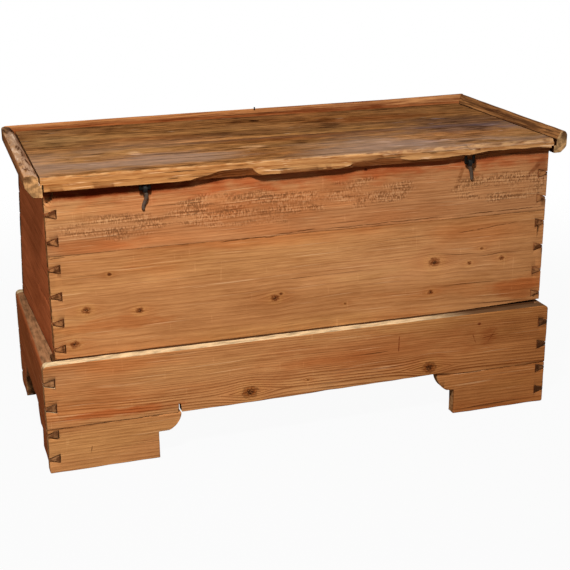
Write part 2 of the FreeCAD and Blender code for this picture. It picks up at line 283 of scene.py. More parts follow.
class Graph:
    """Short names for building a node tree."""

    def __init__(self, tree):
        self.tree = tree

    def add(self, kind, **settings):
        node = self.tree.nodes.new(kind)
        for name, value in settings.items():
            setattr(node, name, value)
        return node

    def put(self, socket, value):
        if isinstance(value, bpy.types.NodeSocket):
            self.tree.links.new(value, socket)
        elif isinstance(value, (tuple, list)) and len(value) == 3 and socket.type == "RGBA":
            socket.default_value = (*value, 1.0)
        else:
            socket.default_value = value

    def math(self, operation, first, second=0.0, third=0.0, clamp=False):
        node = self.add("ShaderNodeMath", operation=operation, use_clamp=clamp)
        for socket, value in zip(node.inputs, (first, second, third)):
            self.put(socket, value)
        return node.outputs[0]

    def plus(self, first, second, clamp=False):
        return self.math("ADD", first, second, clamp=clamp)

    def times(self, first, second):
        return self.math("MULTIPLY", first, second)

    def linear(self, value, factor, offset, clamp=False):
        return self.math("MULTIPLY_ADD", value, factor, offset, clamp)

    def square(self, value):
        return self.math("POWER", value, 2.0)

    def vector(self, operation, first, second):
        node = self.add("ShaderNodeVectorMath", operation=operation)
        self.put(node.inputs[0], first)
        self.put(node.inputs[1], second)
        return node.outputs["Value"] if operation in ("DOT_PRODUCT", "DISTANCE") else node.outputs[0]

    def split(self, vector):
        node = self.add("ShaderNodeSeparateXYZ")
        self.put(node.inputs[0], vector)
        return node.outputs[0], node.outputs[1], node.outputs[2]

    def join(self, x, y, z):
        node = self.add("ShaderNodeCombineXYZ")
        for socket, value in zip(node.inputs, (x, y, z)):
            self.put(socket, value)
        return node.outputs[0]

    def noise(self, vector, stretch, seed, detail=2.0, roughness=0.5):
        """Noise whose features measure 1 / stretch along each axis."""
        scaled = self.vector("MULTIPLY", vector, stretch)
        moved = self.vector("ADD", scaled, (seed * 3.7, seed * 1.9, seed * 2.3))
        node = self.add("ShaderNodeTexNoise")
        self.put(node.inputs["Vector"], moved)
        node.inputs["Scale"].default_value = 1.0
        node.inputs["Detail"].default_value = detail
        node.inputs["Roughness"].default_value = roughness
        return node.outputs[0]

    def step(self, value, low, high, start=0.0, end=1.0):
        """Smooth step from start to end while value goes from low to high."""
        node = self.add("ShaderNodeMapRange", interpolation_type="SMOOTHSTEP")
        for name, setting in (("Value", value), ("From Min", low), ("From Max", high),
                              ("To Min", start), ("To Max", end)):
            self.put(node.inputs[name], setting)
        return node.outputs[0]

    def ramp(self, value, stops):
        """Grey ramp through (position, level) stops."""
        node = self.add("ShaderNodeValToRGB")
        elements = node.color_ramp.elements
        for index, (position, level) in enumerate(stops):
            element = elements[index] if index < 2 else elements.new(position)
            element.position = position
            element.color = (level, level, level, 1.0)
        self.put(node.inputs[0], value)
        return node.outputs[0]

    def mix(self, share, first, second, blend="MIX"):
        node = self.add("ShaderNodeMix", data_type="RGBA", blend_type=blend, clamp_factor=True)
        self.put(node.inputs[0], share)
        self.put(node.inputs[MIX_FIRST], first)
        self.put(node.inputs[MIX_SECOND], second)
        return node.outputs[MIX_RESULT]

    def tint(self, share, colour, tint):
        """Multiplies a colour by a tint, as far as share says."""
        return self.mix(share, colour, tint, "MULTIPLY")

    def bump(self, height, strength, distance):
        node = self.add("ShaderNodeBump")
        node.inputs["Strength"].default_value = strength
        node.inputs["Distance"].default_value = distance
        self.put(node.inputs["Height"], height)
        return node.outputs[0]

    def background_rays(self):
        """1 for the rays that see the white background: from the camera, mirrored or through glass."""
        rays = self.add("ShaderNodeLightPath").outputs
        seen = self.math("MAXIMUM", rays["Is Camera Ray"], rays["Is Glossy Ray"])
        return self.math("MAXIMUM", seen, rays["Is Transmission Ray"])


def new_material(name):
    """A material with its graph and its shader."""
    material = bpy.data.materials.new(name)
    material.use_nodes = True
    return material, Graph(material.node_tree), material.node_tree.nodes["Principled BSDF"]


def darker(colour, share):
    return tuple(part * share for part in colour)


def make_knot_group():
    """Knot in board coordinates: how it pushes the grain aside, the distance in knot radii, its halo."""
    group = bpy.data.node_groups.new("knot", "ShaderNodeTree")
    kinds = {"Board": "NodeSocketVector", "Centre": "NodeSocketVector", "Radius": "NodeSocketFloat"}
    for name, kind in kinds.items():
        group.interface.new_socket(name, in_out="INPUT", socket_type=kind)
    for name in ("Push", "Distance", "Halo"):
        group.interface.new_socket(name, in_out="OUTPUT", socket_type="NodeSocketFloat")
    g = Graph(group)
    given = g.add("NodeGroupInput")
    result = g.add("NodeGroupOutput")
    board = given.outputs["Board"]
    radius = given.outputs["Radius"]
    along, across, _ = g.split(g.vector("SUBTRACT", board, given.outputs["Centre"]))
    along = g.math("DIVIDE", along, radius)
    across = g.math("DIVIDE", across, radius)
    ragged = g.linear(g.noise(board, (110, 190, 20), 4.0, detail=3.0), 1.2, -0.6)
    oval = g.square(g.times(along, 0.8))
    oval = g.math("SQRT", g.plus(oval, g.square(across)))
    g.put(result.inputs["Distance"], g.plus(oval, ragged))
    along_fade = g.math("EXPONENT", g.times(g.square(along), -0.07))
    across_fade = g.math("EXPONENT", g.times(g.math("ABSOLUTE", across), -0.42))
    push = g.times(g.times(along_fade, across_fade), g.math("SIGN", across))
    g.put(result.inputs["Push"], g.times(g.times(push, radius), -1.3))
    spread = g.linear(g.square(along), 0.035, g.times(g.square(across), 0.3))
    g.put(result.inputs["Halo"], g.math("EXPONENT", g.times(spread, -1.0)))
    return group


KNOT_GROUP = make_knot_group()
DARK = (0.050, 0.015, 0.005)
KNOT_HALO = (0.84, 0.64, 0.50)
KNOT_COLLAR = (1.12, 1.24, 1.20)
KNOT_RIM = (0.030, 0.011, 0.005)
CRACKED = (0.16, 0.11, 0.09)
REDDER = (1.0, 0.80, 0.66)
YELLOWER = (1.02, 1.10, 1.06)
SCUFFED = (1.35, 1.5, 1.7)
NO_KNOT = 99.0

# How dark a ring is, from its early wood to its late wood
RING = ((0.0, 0.25), (0.08, 0.0), (0.5, 0.12), (0.82, 0.75), (0.93, 1.0), (1.0, 0.25))


class Wood:
    """Graph of one board: the figure of its grain, from which its colours are made."""

    def __init__(self, name, axes, pith, pitch, seed, knots=(), wander=0.020, taper=0.012):
        self.material, self.g, self.shader = new_material(name)
        self.seed = seed
        g = self.g
        coordinates = g.add("ShaderNodeTexCoord")
        self.place = coordinates.outputs["Object"]
        self.normal = g.split(coordinates.outputs["Normal"])
        self.rim = g.add("ShaderNodeAttribute", attribute_name="rim").outputs["Fac"]
        parts = g.split(self.place)
        order = ["xyz".index(letter) for letter in axes]
        self.along, self.across, self.through = (parts[axis] for axis in order)
        self.end_normal = g.math("ABSOLUTE", self.flat_normal()[order[0]])
        self.board = g.join(self.along, self.across, self.through)
        push = self.place_knots(knots)
        bend = g.linear(g.noise(self.board, (1.1, 1.5, 3), seed), wander * 2, -wander)
        ripple = g.linear(g.noise(self.board, (4, 18, 18), seed + 1), 0.006, -0.003)
        flow = g.plus(g.plus(self.across, push), g.plus(bend, ripple))
        self.flow = g.join(self.along, flow, self.through)
        self.late = self.late_wood(flow, pith, pitch, taper)
        self.fibre = g.noise(self.flow, (6, 260, 260), seed + 2, detail=3.0, roughness=0.6)
        self.streak = g.noise(self.flow, (1.2, 48, 48), seed + 3, detail=3.0)
        self.blotch = g.noise(self.flow, (3.5, 12, 12), seed + 4, detail=6.0, roughness=0.65)
        self.hair = g.noise(self.flow, (22, 560, 560), seed + 5, detail=2.0, roughness=0.7)

    def flat_normal(self):
        """The faces' own normal, not smoothed."""
        g = self.g
        turned = g.add("ShaderNodeVectorTransform", vector_type="NORMAL", convert_from="WORLD",
                       convert_to="OBJECT")
        g.put(turned.inputs[0], g.add("ShaderNodeNewGeometry").outputs["True Normal"])
        return g.split(turned.outputs[0])

    def place_knots(self, knots):
        """Measures how near the knots are, and returns how far they push the grain aside."""
        g = self.g
        push, distance, halo = 0.0, NO_KNOT, 0.0
        for along, across, radius in knots:
            node = g.add("ShaderNodeGroup", node_tree=KNOT_GROUP)
            g.put(node.inputs["Board"], self.board)
            node.inputs["Centre"].default_value = (along, across, 0.0)
            node.inputs["Radius"].default_value = radius
            push = g.plus(node.outputs["Push"], push)
            distance = g.math("MINIMUM", node.outputs["Distance"], distance)
            halo = g.math("MAXIMUM", node.outputs["Halo"], halo)
        self.has_knots = bool(knots)
        self.knot_distance, self.halo = distance, halo
        return push

    def late_wood(self, flow, pith, pitch, taper):
        """Share of late wood in rings about the pith, whose place is across and through the board."""
        g = self.g
        radius = g.vector("DISTANCE", g.join(0.0, flow, self.through), (0.0, *pith))
        radius = g.linear(self.along, taper, radius)
        uneven = g.noise(g.join(radius, 0.0, 0.0), (70, 1, 1), self.seed + 6)
        radius = g.linear(uneven, 0.012, radius)
        return g.ramp(g.math("FRACT", g.math("DIVIDE", radius, pitch)), RING)

    def tone(self, ring, fibre, streak, blotch, level):
        """Share of the deep colour at each place."""
        g = self.g
        total = g.linear(self.late, ring, level - (fibre + streak + blotch) / 2)
        total = g.linear(self.fibre, fibre, total)
        total = g.linear(self.hair, fibre, g.math("SUBTRACT", total, fibre / 2))
        total = g.linear(self.streak, streak, total)
        return g.linear(self.blotch, blotch, total, clamp=True)

    def add_tints(self, colour, share=0.6):
        """Redder and yellower stretches along the grain."""
        g = self.g
        drift = g.noise(self.flow, (1.8, 8, 8), self.seed + 7, detail=4.0)
        colour = g.tint(g.step(drift, 0.52, 0.68, 0.0, share), colour, REDDER)
        return g.tint(g.step(drift, 0.48, 0.32, 0.0, share), colour, YELLOWER)

    def add_knots(self, colour, heart=(0.40, 0.27, 0.22), core=0.5, rim=0.0):
        """Mottled hearts that tint the wood, with a dark middle, a pale speckled collar and a dark rim."""
        if not self.has_knots:
            return colour
        g = self.g
        distance = self.knot_distance
        colour = g.tint(g.times(self.halo, 0.6), colour, KNOT_HALO)
        specks = g.noise(self.board, (170, 230, 10), self.seed + 14)
        collar = g.times(g.step(distance, 2.7, 1.3), g.step(specks, 0.36, 0.52, 0.1, 0.75))
        colour = g.tint(collar, colour, KNOT_COLLAR)
        mottle = g.noise(self.board, (240, 420, 10), self.seed + 8, detail=3.0)
        inside = g.times(g.step(distance, 1.25, 0.60), g.step(mottle, 0.30, 0.55, 0.35, 1.0))
        colour = g.tint(inside, colour, heart)
        if rim:
            edge = g.math("ABSOLUTE", g.math("SUBTRACT", distance, 0.95))
            broken = g.step(g.noise(self.board, (120, 120, 10), self.seed + 8), 0.36, 0.56, 0.15, rim)
            colour = g.mix(g.times(g.step(edge, 0.28, 0.06), broken), colour, KNOT_RIM)
        middle = g.times(g.step(distance, core, 0.3 * core), g.step(mottle, 0.34, 0.52, 0.35, 0.9))
        return g.mix(middle, colour, KNOT_RIM)

    def add_lines(self, colour, stretch, low, high, share, dark, seed):
        """Dark marks where a stretched noise is high."""
        g = self.g
        mask = g.step(g.noise(self.flow, stretch, self.seed + seed, detail=2.0), low, high, 0.0, share)
        return g.mix(mask, colour, dark), mask

    def add_spots(self, colour, spots):
        """Soft ragged tints, for stains and for painted shade: a centre and half sizes along and across the
        board, a tint and its share.
        """
        g = self.g
        ragged = g.linear(g.noise(self.board, (20, 55, 55), self.seed + 15, detail=4.0), 1.8, -0.9)
        for centre, half, tint, share in spots:
            offset = g.vector("SUBTRACT", self.board, (*centre, 0.0))
            offset = g.vector("MULTIPLY", offset, (1 / half[0], 1 / half[1], 0.0))
            reach = g.vector("DISTANCE", offset, (0, 0, 0))
            mask = g.step(g.plus(reach, ragged), 1.15, 0.35, 0.0, share)
            colour = g.tint(mask, colour, tint)
        return colour

    def add_strokes(self, colour, strokes):
        """Cracks and scars: start and end along and across the board, half width, a tint and its share."""
        g = self.g
        wander = g.linear(g.noise(self.board, (28, 28, 1), self.seed + 16), 7 * MM, -3.5 * MM)
        board = g.vector("ADD", self.board, g.join(0.0, wander, 0.0))
        broken = g.step(g.noise(self.board, (45, 120, 1), self.seed + 17, detail=3.0), 0.34, 0.50, 0.25, 1.0)
        for start, end, width, tint, share in strokes:
            run = Vector(end) - Vector(start)
            length = run.length
            run.normalize()
            offset = g.vector("SUBTRACT", board, (*start, 0.0))
            travelled = g.vector("DOT_PRODUCT", offset, (run.x, run.y, 0.0))
            aside = g.math("ABSOLUTE", g.vector("DOT_PRODUCT", offset, (-run.y, run.x, 0.0)))
            mask = g.times(g.step(aside, width, 0.4 * width, 0.0, share), broken)
            mask = g.times(mask, g.step(travelled, 0.0, 0.15 * length))
            mask = g.times(mask, g.step(travelled, length, 0.85 * length))
            colour = g.tint(mask, colour, tint)
        return colour

    def add_scuffs(self, colour, stretch, share):
        """Pale rubbed marks."""
        g = self.g
        marks = g.step(g.noise(self.place, stretch, self.seed + 13, detail=2.0), 0.68, 0.76, 0.0, share)
        return g.tint(marks, colour, SCUFFED)

    def add_end_grain(self, colour, pale, deep, outline=0.80):
        """Blotchy ends of the boards, outlined with grime."""
        g = self.g
        specks = g.noise(self.place, (420, 420, 420), self.seed + 9)
        blotch = g.noise(self.place, (75, 75, 75), self.seed + 10, detail=4.0)
        share = g.linear(self.late, 0.18, g.linear(specks, 0.5, -0.25))
        share = g.plus(share, g.step(blotch, 0.36, 0.64), clamp=True)
        face = g.step(self.end_normal, 0.5, 0.8)
        colour = g.mix(face, colour, g.mix(share, pale, deep))
        border = g.times(face, g.step(self.rim, 0.30, 0.85, 0.0, outline))
        return g.mix(border, colour, DARK)

    def add_rim(self, colour, rim_colour, share, inner=0.0):
        """Patchy colour along the edges, wider where inner is low."""
        g = self.g
        patchy = g.step(g.noise(self.board, (40, 90, 90), self.seed + 11, detail=3.0), 0.38, 0.62)
        rim = g.step(self.rim, inner, 1.0)
        return g.mix(g.times(g.times(rim, patchy), share), colour, rim_colour)

    def finish(self, colour, roughness=0.68, relief=0.5, cut=None):
        g = self.g
        height = g.linear(self.late, 0.5, g.times(self.fibre, 0.8))
        if cut is not None:
            height = g.linear(cut, -2.0, height)
        g.put(self.shader.inputs["Normal"], g.bump(height, relief, 0.8 * MM))
        g.put(self.shader.inputs["Base Color"], colour)
        matt = g.linear(self.fibre, 0.25, roughness - 0.125)
        g.put(self.shader.inputs["Roughness"], matt)
        self.shader.inputs["Specular IOR Level"].default_value = 0.0
        return self.material


# Woods

WALL_PALE = (0.62, 0.282, 0.104)
WALL_DEEP = (0.20, 0.056, 0.012)
# The end boards: the walls' pine in a redder, deeper palette, partly their own colour and partly painted
# shade of faces turned from the light
END_PALE = (0.62, 0.165, 0.056)
END_DEEP = (0.20, 0.044, 0.013)
PLINTH_PALE = (0.64, 0.285, 0.104)
PLINTH_DEEP = (0.22, 0.062, 0.013)
LID_PALE = (0.39, 0.168, 0.052)
LID_DEEP = (0.056, 0.018, 0.005)
LID_GREY = (0.34, 0.205, 0.128)
EDGE_PALE = (0.50, 0.225, 0.072)
EDGE_DEEP = (0.24, 0.078, 0.019)
RAW_PALE = (0.66, 0.42, 0.22)
RAW_DEEP = (0.44, 0.23, 0.10)
CREAM = (0.76, 0.54, 0.30)
PIN_PALE = (0.37, 0.150, 0.053)
PIN_DEEP = (0.09, 0.030, 0.010)
RUBBED = (0.80, 0.47, 0.24)
# Black of sooty iron, also painted shade on the irons under the lid
SOOT_AND_SHADE = (0.007, 0.006, 0.005)
# Dark brown of the ledgers, also used as painted shade on the back ledge's top
GRIME_AND_SHADE = (0.100, 0.042, 0.016)
DIMMED = (0.78, 0.66, 0.54)
CRACKLE_DARK = (0.11, 0.040, 0.014)
LID_SCUFF = (0.50, 0.34, 0.22)
LID_CRACK = (0.040, 0.014, 0.006)
LID_RIM = (0.62, 0.36, 0.16)
LID_ENDS = ((0.50, 0.26, 0.11), (0.20, 0.08, 0.03))
BLEACHED = (1.18, 1.34, 1.58)
# painted shade for faces that point downwards
UNDERSIDE_SHADE = (0.60, 0.40, 0.32)
MOULDING_FOOT = (0.72, 0.50, 0.38)
MOULDING_RIM = (0.46, 0.22, 0.075)
BARE_DULL = (0.34, 0.205, 0.125)
BARE_PALE = (0.58, 0.40, 0.27)
BARE_DARK = (0.060, 0.024, 0.010)
GRIMY_STREAK = (0.050, 0.018, 0.007)
GRIMY_SPECK = (0.030, 0.011, 0.005)
LEFT_PINS = ((0.38, 0.175, 0.070), (0.14, 0.052, 0.019))
RIGHT_PINS = ((0.20, 0.080, 0.030), (0.07, 0.025, 0.009))
FOOT_ENDS = ((0.46, 0.225, 0.092), (0.25, 0.110, 0.042))

# Alligatored patches of the back's upper plank: centre along X and Z, half length and half height
CRACKLE = (
    (-0.470, 0.580, 0.150, 0.040), (-0.165, 0.594, 0.250, 0.054), (0.145, 0.606, 0.150, 0.044),
    (0.500, 0.594, 0.165, 0.048),
)


def crackle_masks(wood):
    """Fine cracks across the grain and the pale flakes between them, in ragged patches."""
    g = wood.g
    x, _, z = g.split(wood.place)
    patch = 0.0
    for centre_x, centre_z, half_x, half_z in CRACKLE:
        across = g.math("DIVIDE", g.math("SUBTRACT", x, centre_x), half_x)
        up = g.math("DIVIDE", g.math("SUBTRACT", z, centre_z), half_z)
        reach = g.plus(g.square(across), g.square(up))
        patch = g.math("MAXIMUM", g.step(reach, 1.15, 0.35), patch)
    ragged = g.noise(wood.board, (13, 42, 10), wood.seed + 31, detail=4.0)
    patch = g.step(g.linear(patch, 0.28, ragged), 0.62, 0.90)
    ticks = g.noise(wood.place, (380, 1, 150), wood.seed + 32, detail=2.0)
    rows = g.noise(wood.flow, (9, 190, 1), wood.seed + 33, detail=1.0)
    ticks = g.linear(rows, 0.7, ticks)
    marks = g.times(patch, g.step(ticks, 0.83, 1.00))
    return marks, g.times(patch, g.step(ticks, 0.82, 0.70))


def wall_wood(name, seed, knots=(), pith=(0.95, 0.15), crackle=False, pale=WALL_PALE, deep=WALL_DEEP,
              spots=(), strokes=()):
    wood = Wood(name, "xzy", pith, 5.2 * MM, seed, knots)
    g = wood.g
    share = wood.tone(ring=0.16, fibre=0.66, streak=0.40, blotch=0.85, level=0.40)
    colour = g.mix(share, pale, deep)
    colour = wood.add_tints(colour, 0.8)
    colour = wood.add_spots(colour, spots)
    colour = wood.add_scuffs(colour, (110, 1, 14), 0.35)
    colour, cut = wood.add_lines(colour, (2.4, 150, 40), 0.68, 0.76, 0.65, DARK, 20)
    colour, _ = wood.add_lines(colour, (5, 330, 40), 0.64, 0.74, 0.40, RUBBED, 23)
    colour = wood.add_strokes(colour, strokes)
    if crackle:
        marks, flakes = crackle_masks(wood)
        colour = g.mix(g.times(flakes, 0.24), colour, RUBBED)
        colour = g.mix(g.times(marks, 0.66), colour, CRACKLE_DARK)
        cut = g.math("MAXIMUM", cut, marks)
    colour = wood.add_knots(colour)
    colour = wood.add_end_grain(colour, PIN_PALE, PIN_DEEP)
    colour = wood.add_rim(colour, DARK, 0.45, inner=0.7)
    return wood.finish(colour, cut=cut)


def end_wood(name, seed, outline):
    wood = Wood(name, "yzx", (-1.5, 0.0), 5.2 * MM, seed)
    share = wood.tone(ring=0.20, fibre=0.50, streak=0.70, blotch=0.90, level=0.42)
    colour = wood.g.mix(share, END_PALE, END_DEEP)
    colour, cut = wood.add_lines(colour, (2.4, 130, 40), 0.66, 0.74, 0.7, DARK, 20)
    colour = wood.add_end_grain(colour, PIN_PALE, PIN_DEEP, outline)
    return wood.finish(colour, cut=cut)


def plinth_wood(name, seed, knots=(), pith=(0.06, -0.22), axes="xzy", top=None, pale=PLINTH_PALE,
                deep=PLINTH_DEEP, figure=0.22, dim=False, spots=(), strokes=(), pins=FOOT_ENDS):
    """dim darkens the board towards +X, and there turns the top of its ledge dark as painted shade of the gap
    under the body.
    """
    wood = Wood(name, axes, pith, 6.0 * MM, seed, knots, wander=0.016, taper=0.025)
    g = wood.g
    share = wood.tone(ring=0.10, fibre=0.72, streak=0.50, blotch=0.75, level=0.40)
    low = g.step(g.linear(wood.streak, 0.04, wood.across), 0.215, 0.165, 0.12, figure)
    low = g.times(low, g.step(wood.along, -0.30, 0.45, 1.0, 1.5))
    if knots:
        near = g.noise(wood.board, (4, 14, 14), seed + 41, detail=2.0)
        low = g.math("MAXIMUM", low, g.times(g.step(wood.halo, 0.02, 0.35), 0.6))
        low = g.times(low, g.step(near, 0.3, 0.5, 0.5, 1.2))
    share = g.plus(share, g.times(g.math("SUBTRACT", wood.late, 0.35), low), clamp=True)
    colour = g.mix(share, pale, deep)
    colour = wood.add_tints(colour, 0.8)
    colour = wood.add_spots(colour, spots)
    colour = wood.add_scuffs(colour, (110, 1, 14), 0.35)
    if dim:
        colour = g.tint(g.step(wood.along, -0.1, 0.65), colour, DIMMED)
    colour, cut = wood.add_lines(colour, (2.6, 140, 40), 0.69, 0.77, 0.65, DARK, 20)
    colour, _ = wood.add_lines(colour, (5, 330, 40), 0.64, 0.74, 0.40, RUBBED, 23)
    colour = wood.add_strokes(colour, strokes)
    colour = wood.add_knots(colour, heart=(0.60, 0.43, 0.30), core=0.75, rim=0.35)
    colour = wood.add_end_grain(colour, *pins)
    colour = wood.add_rim(colour, DARK, 0.50, inner=0.6)
    if top is not None:
        specks = g.noise(wood.board, (24, 130, 130), seed + 40, detail=5.0, roughness=0.65)
        bare = g.mix(g.step(specks, 0.35, 0.7), top, darker(top, 0.42))
        if dim:
            # painted shade: towards +X the ledge top goes dark, as the shadowed gap under the body
            bare = g.mix(g.step(wood.along, 0.26, 0.44, 0.0, 0.95), bare, GRIME_AND_SHADE)
        colour = g.mix(g.step(wood.normal[Z], 0.5, 0.8), colour, bare)
    return wood.finish(colour, cut=cut)


def raw_wood(name, seed, axes="xyz", pale=RAW_PALE, deep=RAW_DEEP):
    wood = Wood(name, axes, (0.4, 0.1), 5.5 * MM, seed)
    share = wood.tone(ring=0.40, fibre=0.45, streak=0.45, blotch=0.40, level=0.35)
    colour = wood.g.mix(share, pale, deep)
    colour, cut = wood.add_lines(colour, (2.4, 130, 40), 0.68, 0.76, 0.5, DARK, 20)
    return wood.finish(colour, roughness=0.75, cut=cut)


def lid_wood(name, seed, knots=(), spots=()):
    """Greyed and scuffed on top, warm and pale where the edge is bare."""
    wood = Wood(name, "xyz", (0.30, 0.45), 6.0 * MM, seed, knots)
    g = wood.g
    short = g.noise(wood.flow, (16, 85, 85), seed + 52, detail=5.0, roughness=0.65)
    top = wood.tone(ring=0.12, fibre=1.10, streak=0.80, blotch=1.40, level=0.50)
    top = g.plus(top, g.linear(short, 2.2, -1.1), clamp=True)
    top = wood.add_tints(g.mix(top, LID_PALE, LID_DEEP))
    grey = g.step(g.noise(wood.board, (3.0, 9, 9), seed + 50, detail=5.0), 0.42, 0.62)
    grey = g.times(grey, g.step(wood.across, 0.08, -0.15, 0.05, 0.65))
    top = g.mix(grey, top, g.mix(short, LID_GREY, darker(LID_GREY, 0.45)))
    scuffs = g.step(g.noise(wood.board, (16, 70, 70), seed + 51, detail=3.0), 0.66, 0.76)
    top = g.mix(g.times(scuffs, 0.45), top, LID_SCUFF)
    top = wood.add_spots(top, spots)
    top, cut = wood.add_lines(top, (3.0, 150, 40), 0.62, 0.72, 0.75, LID_CRACK, 20)
    share = wood.tone(ring=0.40, fibre=1.30, streak=0.80, blotch=0.80, level=0.34)
    edge = g.mix(share, EDGE_PALE, EDGE_DEEP)
    edge, _ = wood.add_lines(edge, (9, 210, 210), 0.60, 0.68, 0.85, DARK, 24)
    edge, _ = wood.add_lines(edge, (12, 260, 260), 0.62, 0.72, 0.6, RUBBED, 25)
    edge = g.tint(g.step(wood.along, -0.25, 0.10, 0.0, 0.9), edge, BLEACHED)
    # painted shade: the edge's downward faces, the wane's underside, are darkened
    edge = g.tint(g.step(wood.normal[Z], -0.12, -0.32), edge, UNDERSIDE_SHADE)
    colour = g.mix(g.step(wood.normal[Z], 0.45, 0.80), edge, top)
    colour = wood.add_knots(colour, heart=(0.16, 0.10, 0.08))
    colour = wood.add_rim(colour, LID_RIM, 0.4)
    colour = wood.add_end_grain(colour, *LID_ENDS)
    return wood.finish(colour, roughness=0.68, relief=0.7, cut=cut)


def moulding_wood(name, axes, seed, pale, deep, top="clean", end=(0.44, 0.225, 0.080), spots=(),
                  joint=0):
    """joint is the side along X of the open joint with the planks' ends; the moulding's face inside that
    joint is painted near black as shade.
    """
    wood = Wood(name, axes, (0.9, 0.35), 5.0 * MM, seed)
    g = wood.g
    share = wood.tone(ring=0.25, fibre=1.10, streak=2.00, blotch=1.60, level=0.42)
    colour = g.mix(share, pale, deep)
    colour, cut = wood.add_lines(colour, (3.0, 130, 130), 0.62, 0.72, 0.8, DARK, 20)
    mottle = g.noise(wood.board, (14, 70, 70), seed + 60, detail=5.0, roughness=0.65)
    if top == "clean":
        foot = g.step(wood.through, lid_high.z + 7 * MM, lid_high.z + 2 * MM, 0.0, 0.8)
        colour = g.tint(foot, colour, MOULDING_FOOT)
    elif top == "bare":
        bare = g.mix(g.step(mottle, 0.50, 0.62), BARE_DULL, BARE_PALE)
        bare = g.mix(g.step(mottle, 0.46, 0.36), bare, BARE_DARK)
        colour = g.mix(g.step(wood.normal[Z], 0.60, 0.82, 0.0, 0.85), colour, bare)
    elif top == "grimy":
        streaks = g.noise(wood.board, (5, 130, 130), seed + 61, detail=4.0, roughness=0.6)
        colour = g.mix(g.step(streaks, 0.46, 0.62, 0.0, 0.8), colour, GRIMY_STREAK)
        colour = g.mix(g.step(mottle, 0.52, 0.70, 0.0, 0.6), colour, GRIMY_SPECK)
    colour = wood.add_spots(colour, spots)
    if joint:
        # painted shade: faces turned into the open joint, below the lid's top, go near black
        inside = g.step(g.times(wood.normal[X], joint), 0.4, 0.7)
        inside = g.times(inside, g.step(wood.through, lid_high.z - 0.5 * MM, lid_high.z - 2 * MM))
        colour = g.mix(inside, colour, darker(DARK, 0.3))
    colour = wood.add_rim(colour, MOULDING_RIM, 0.35)
    colour = wood.add_end_grain(colour, end, darker(end, 0.42))
    return wood.finish(colour, relief=0.6, cut=cut)


def forged_iron(name, tone, metallic, soot_and_shade_from=-1.0):
    """Rust-flecked iron, black above a height: soot, and painted shade where the iron goes into the dark
    under the lid.
    """
    material, g, shader = new_material(name)
    place = g.add("ShaderNodeTexCoord").outputs["Object"]
    rust = g.step(g.noise(place, (160, 160, 160), 3.0, detail=4.0), 0.48, 0.68)
    scale = g.noise(place, (420, 420, 420), 5.0, detail=3.0)
    colour = g.mix(rust, tone, (tone[0] * 1.1, tone[1] * 0.6, tone[2] * 0.4))
    # painted shade and soot: black above the given height
    soot_and_shade_mask = g.step(g.split(place)[Z], soot_and_shade_from, soot_and_shade_from + 6 * MM)
    g.put(shader.inputs["Base Color"], g.mix(soot_and_shade_mask, colour, SOOT_AND_SHADE))
    g.put(shader.inputs["Roughness"], g.linear(scale, 0.35, 0.38))
    shader.inputs["Metallic"].default_value = metallic
    shader.inputs["Specular IOR Level"].default_value = metallic
    g.put(shader.inputs["Normal"], g.bump(scale, 0.6, 0.6 * MM))
    return material


# Plinth

plinth_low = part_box("back_apron")[0]
plinth_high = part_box("front_apron")[1]
apron_bottom = plinth_low.z
ledger_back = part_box("back_ledger")[1].y
ledger_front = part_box("front_ledger")[0].y
apron_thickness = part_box("back_apron")[1].y - plinth_low.y
end_foot_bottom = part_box("left_end_front_foot")[0].z
left_lobe_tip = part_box("back_left_foot")[1].x
right_lobe_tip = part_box("back_right_foot")[0].x
FOOT_ROUNDING = 6 * MM
CORNER_ROUNDING = 15 * MM
CORNER_STEPS = (0.12, 0.3, 0.5, 0.75, 1.0)
SKEW = 6 * MM                # the left end stands out of square towards the front
SKEW_FROM = -0.30
FOOT_DROP = 19 * MM          # the end feet at the front are stretched down nearly to the floor
FOOT_DROP_FROM = 60 * MM
LOBE_LENGTH = 56 * MM
LOBE_SPACING = 6 * MM
LOBE_SHORTER = 8 * MM        # the right lobe
LOBE_RISE = 4 * MM
KERF_X = -0.3455             # saw cut beside the left lobe
KERF_TOP = 0.1345
KERF_REACH = 4 * MM
KERF_SLANT = 6 * MM
KERF_SPREAD = 2.5 * MM
KERF_WIDER = 1.8 * MM
APRON_RISE = 7 * MM          # open glue line over the right lobe
APRON_RISE_FROM = -0.20
APRON_RISE_LENGTH = 60 * MM
APRON_RISE_HEIGHT = 50 * MM
LEAN = 16 * MM               # the left apron's inner top edge
LEAN_FROM = 20 * MM
LEAN_HEIGHT = 60 * MM
LEAN_TAPER = 12 * MM
LEAN_CLEARANCE = 2 * MM


def skewed(place, low, high):
    """The left end's front stands out of square."""
    share = share_of(place.x, SKEW_FROM, low.x) * share_of(place.y, low.y, high.y)
    return place - Vector((SKEW * share, 0, 0))


def plinth_mould(place):
    """Worn outer corners of the plinth's top and of its feet, and the left end out of square."""
    for corner_x, inward in ((plinth_low.x, 1), (plinth_high.x, -1)):
        place = rounded_corner(place, (corner_x, plinth_high.z), (inward, -1), CORNER_ROUNDING, X, Z)
        place = rounded_corner(place, (corner_x, 0.0), (inward, 1), FOOT_ROUNDING, X, Z)
    return skewed(place, plinth_low, plinth_high)


def left_apron_mould(place):
    """Between the ledgers the left apron's top leans in under the body, so no daylight shows past it."""
    back = ledger_back + LEAN_CLEARANCE
    front = ledger_front - LEAN_CLEARANCE
    lean = share_of(place.y, back, back + LEAN_TAPER) * share_of(place.y, front, front - LEAN_TAPER)
    lean *= share_of(place.z, plinth_high.z - LEAN_HEIGHT, plinth_high.z)
    if place.x > plinth_low.x + LEAN_FROM:
        place = place + Vector((LEAN * lean, 0, 0))
    return plinth_mould(place)


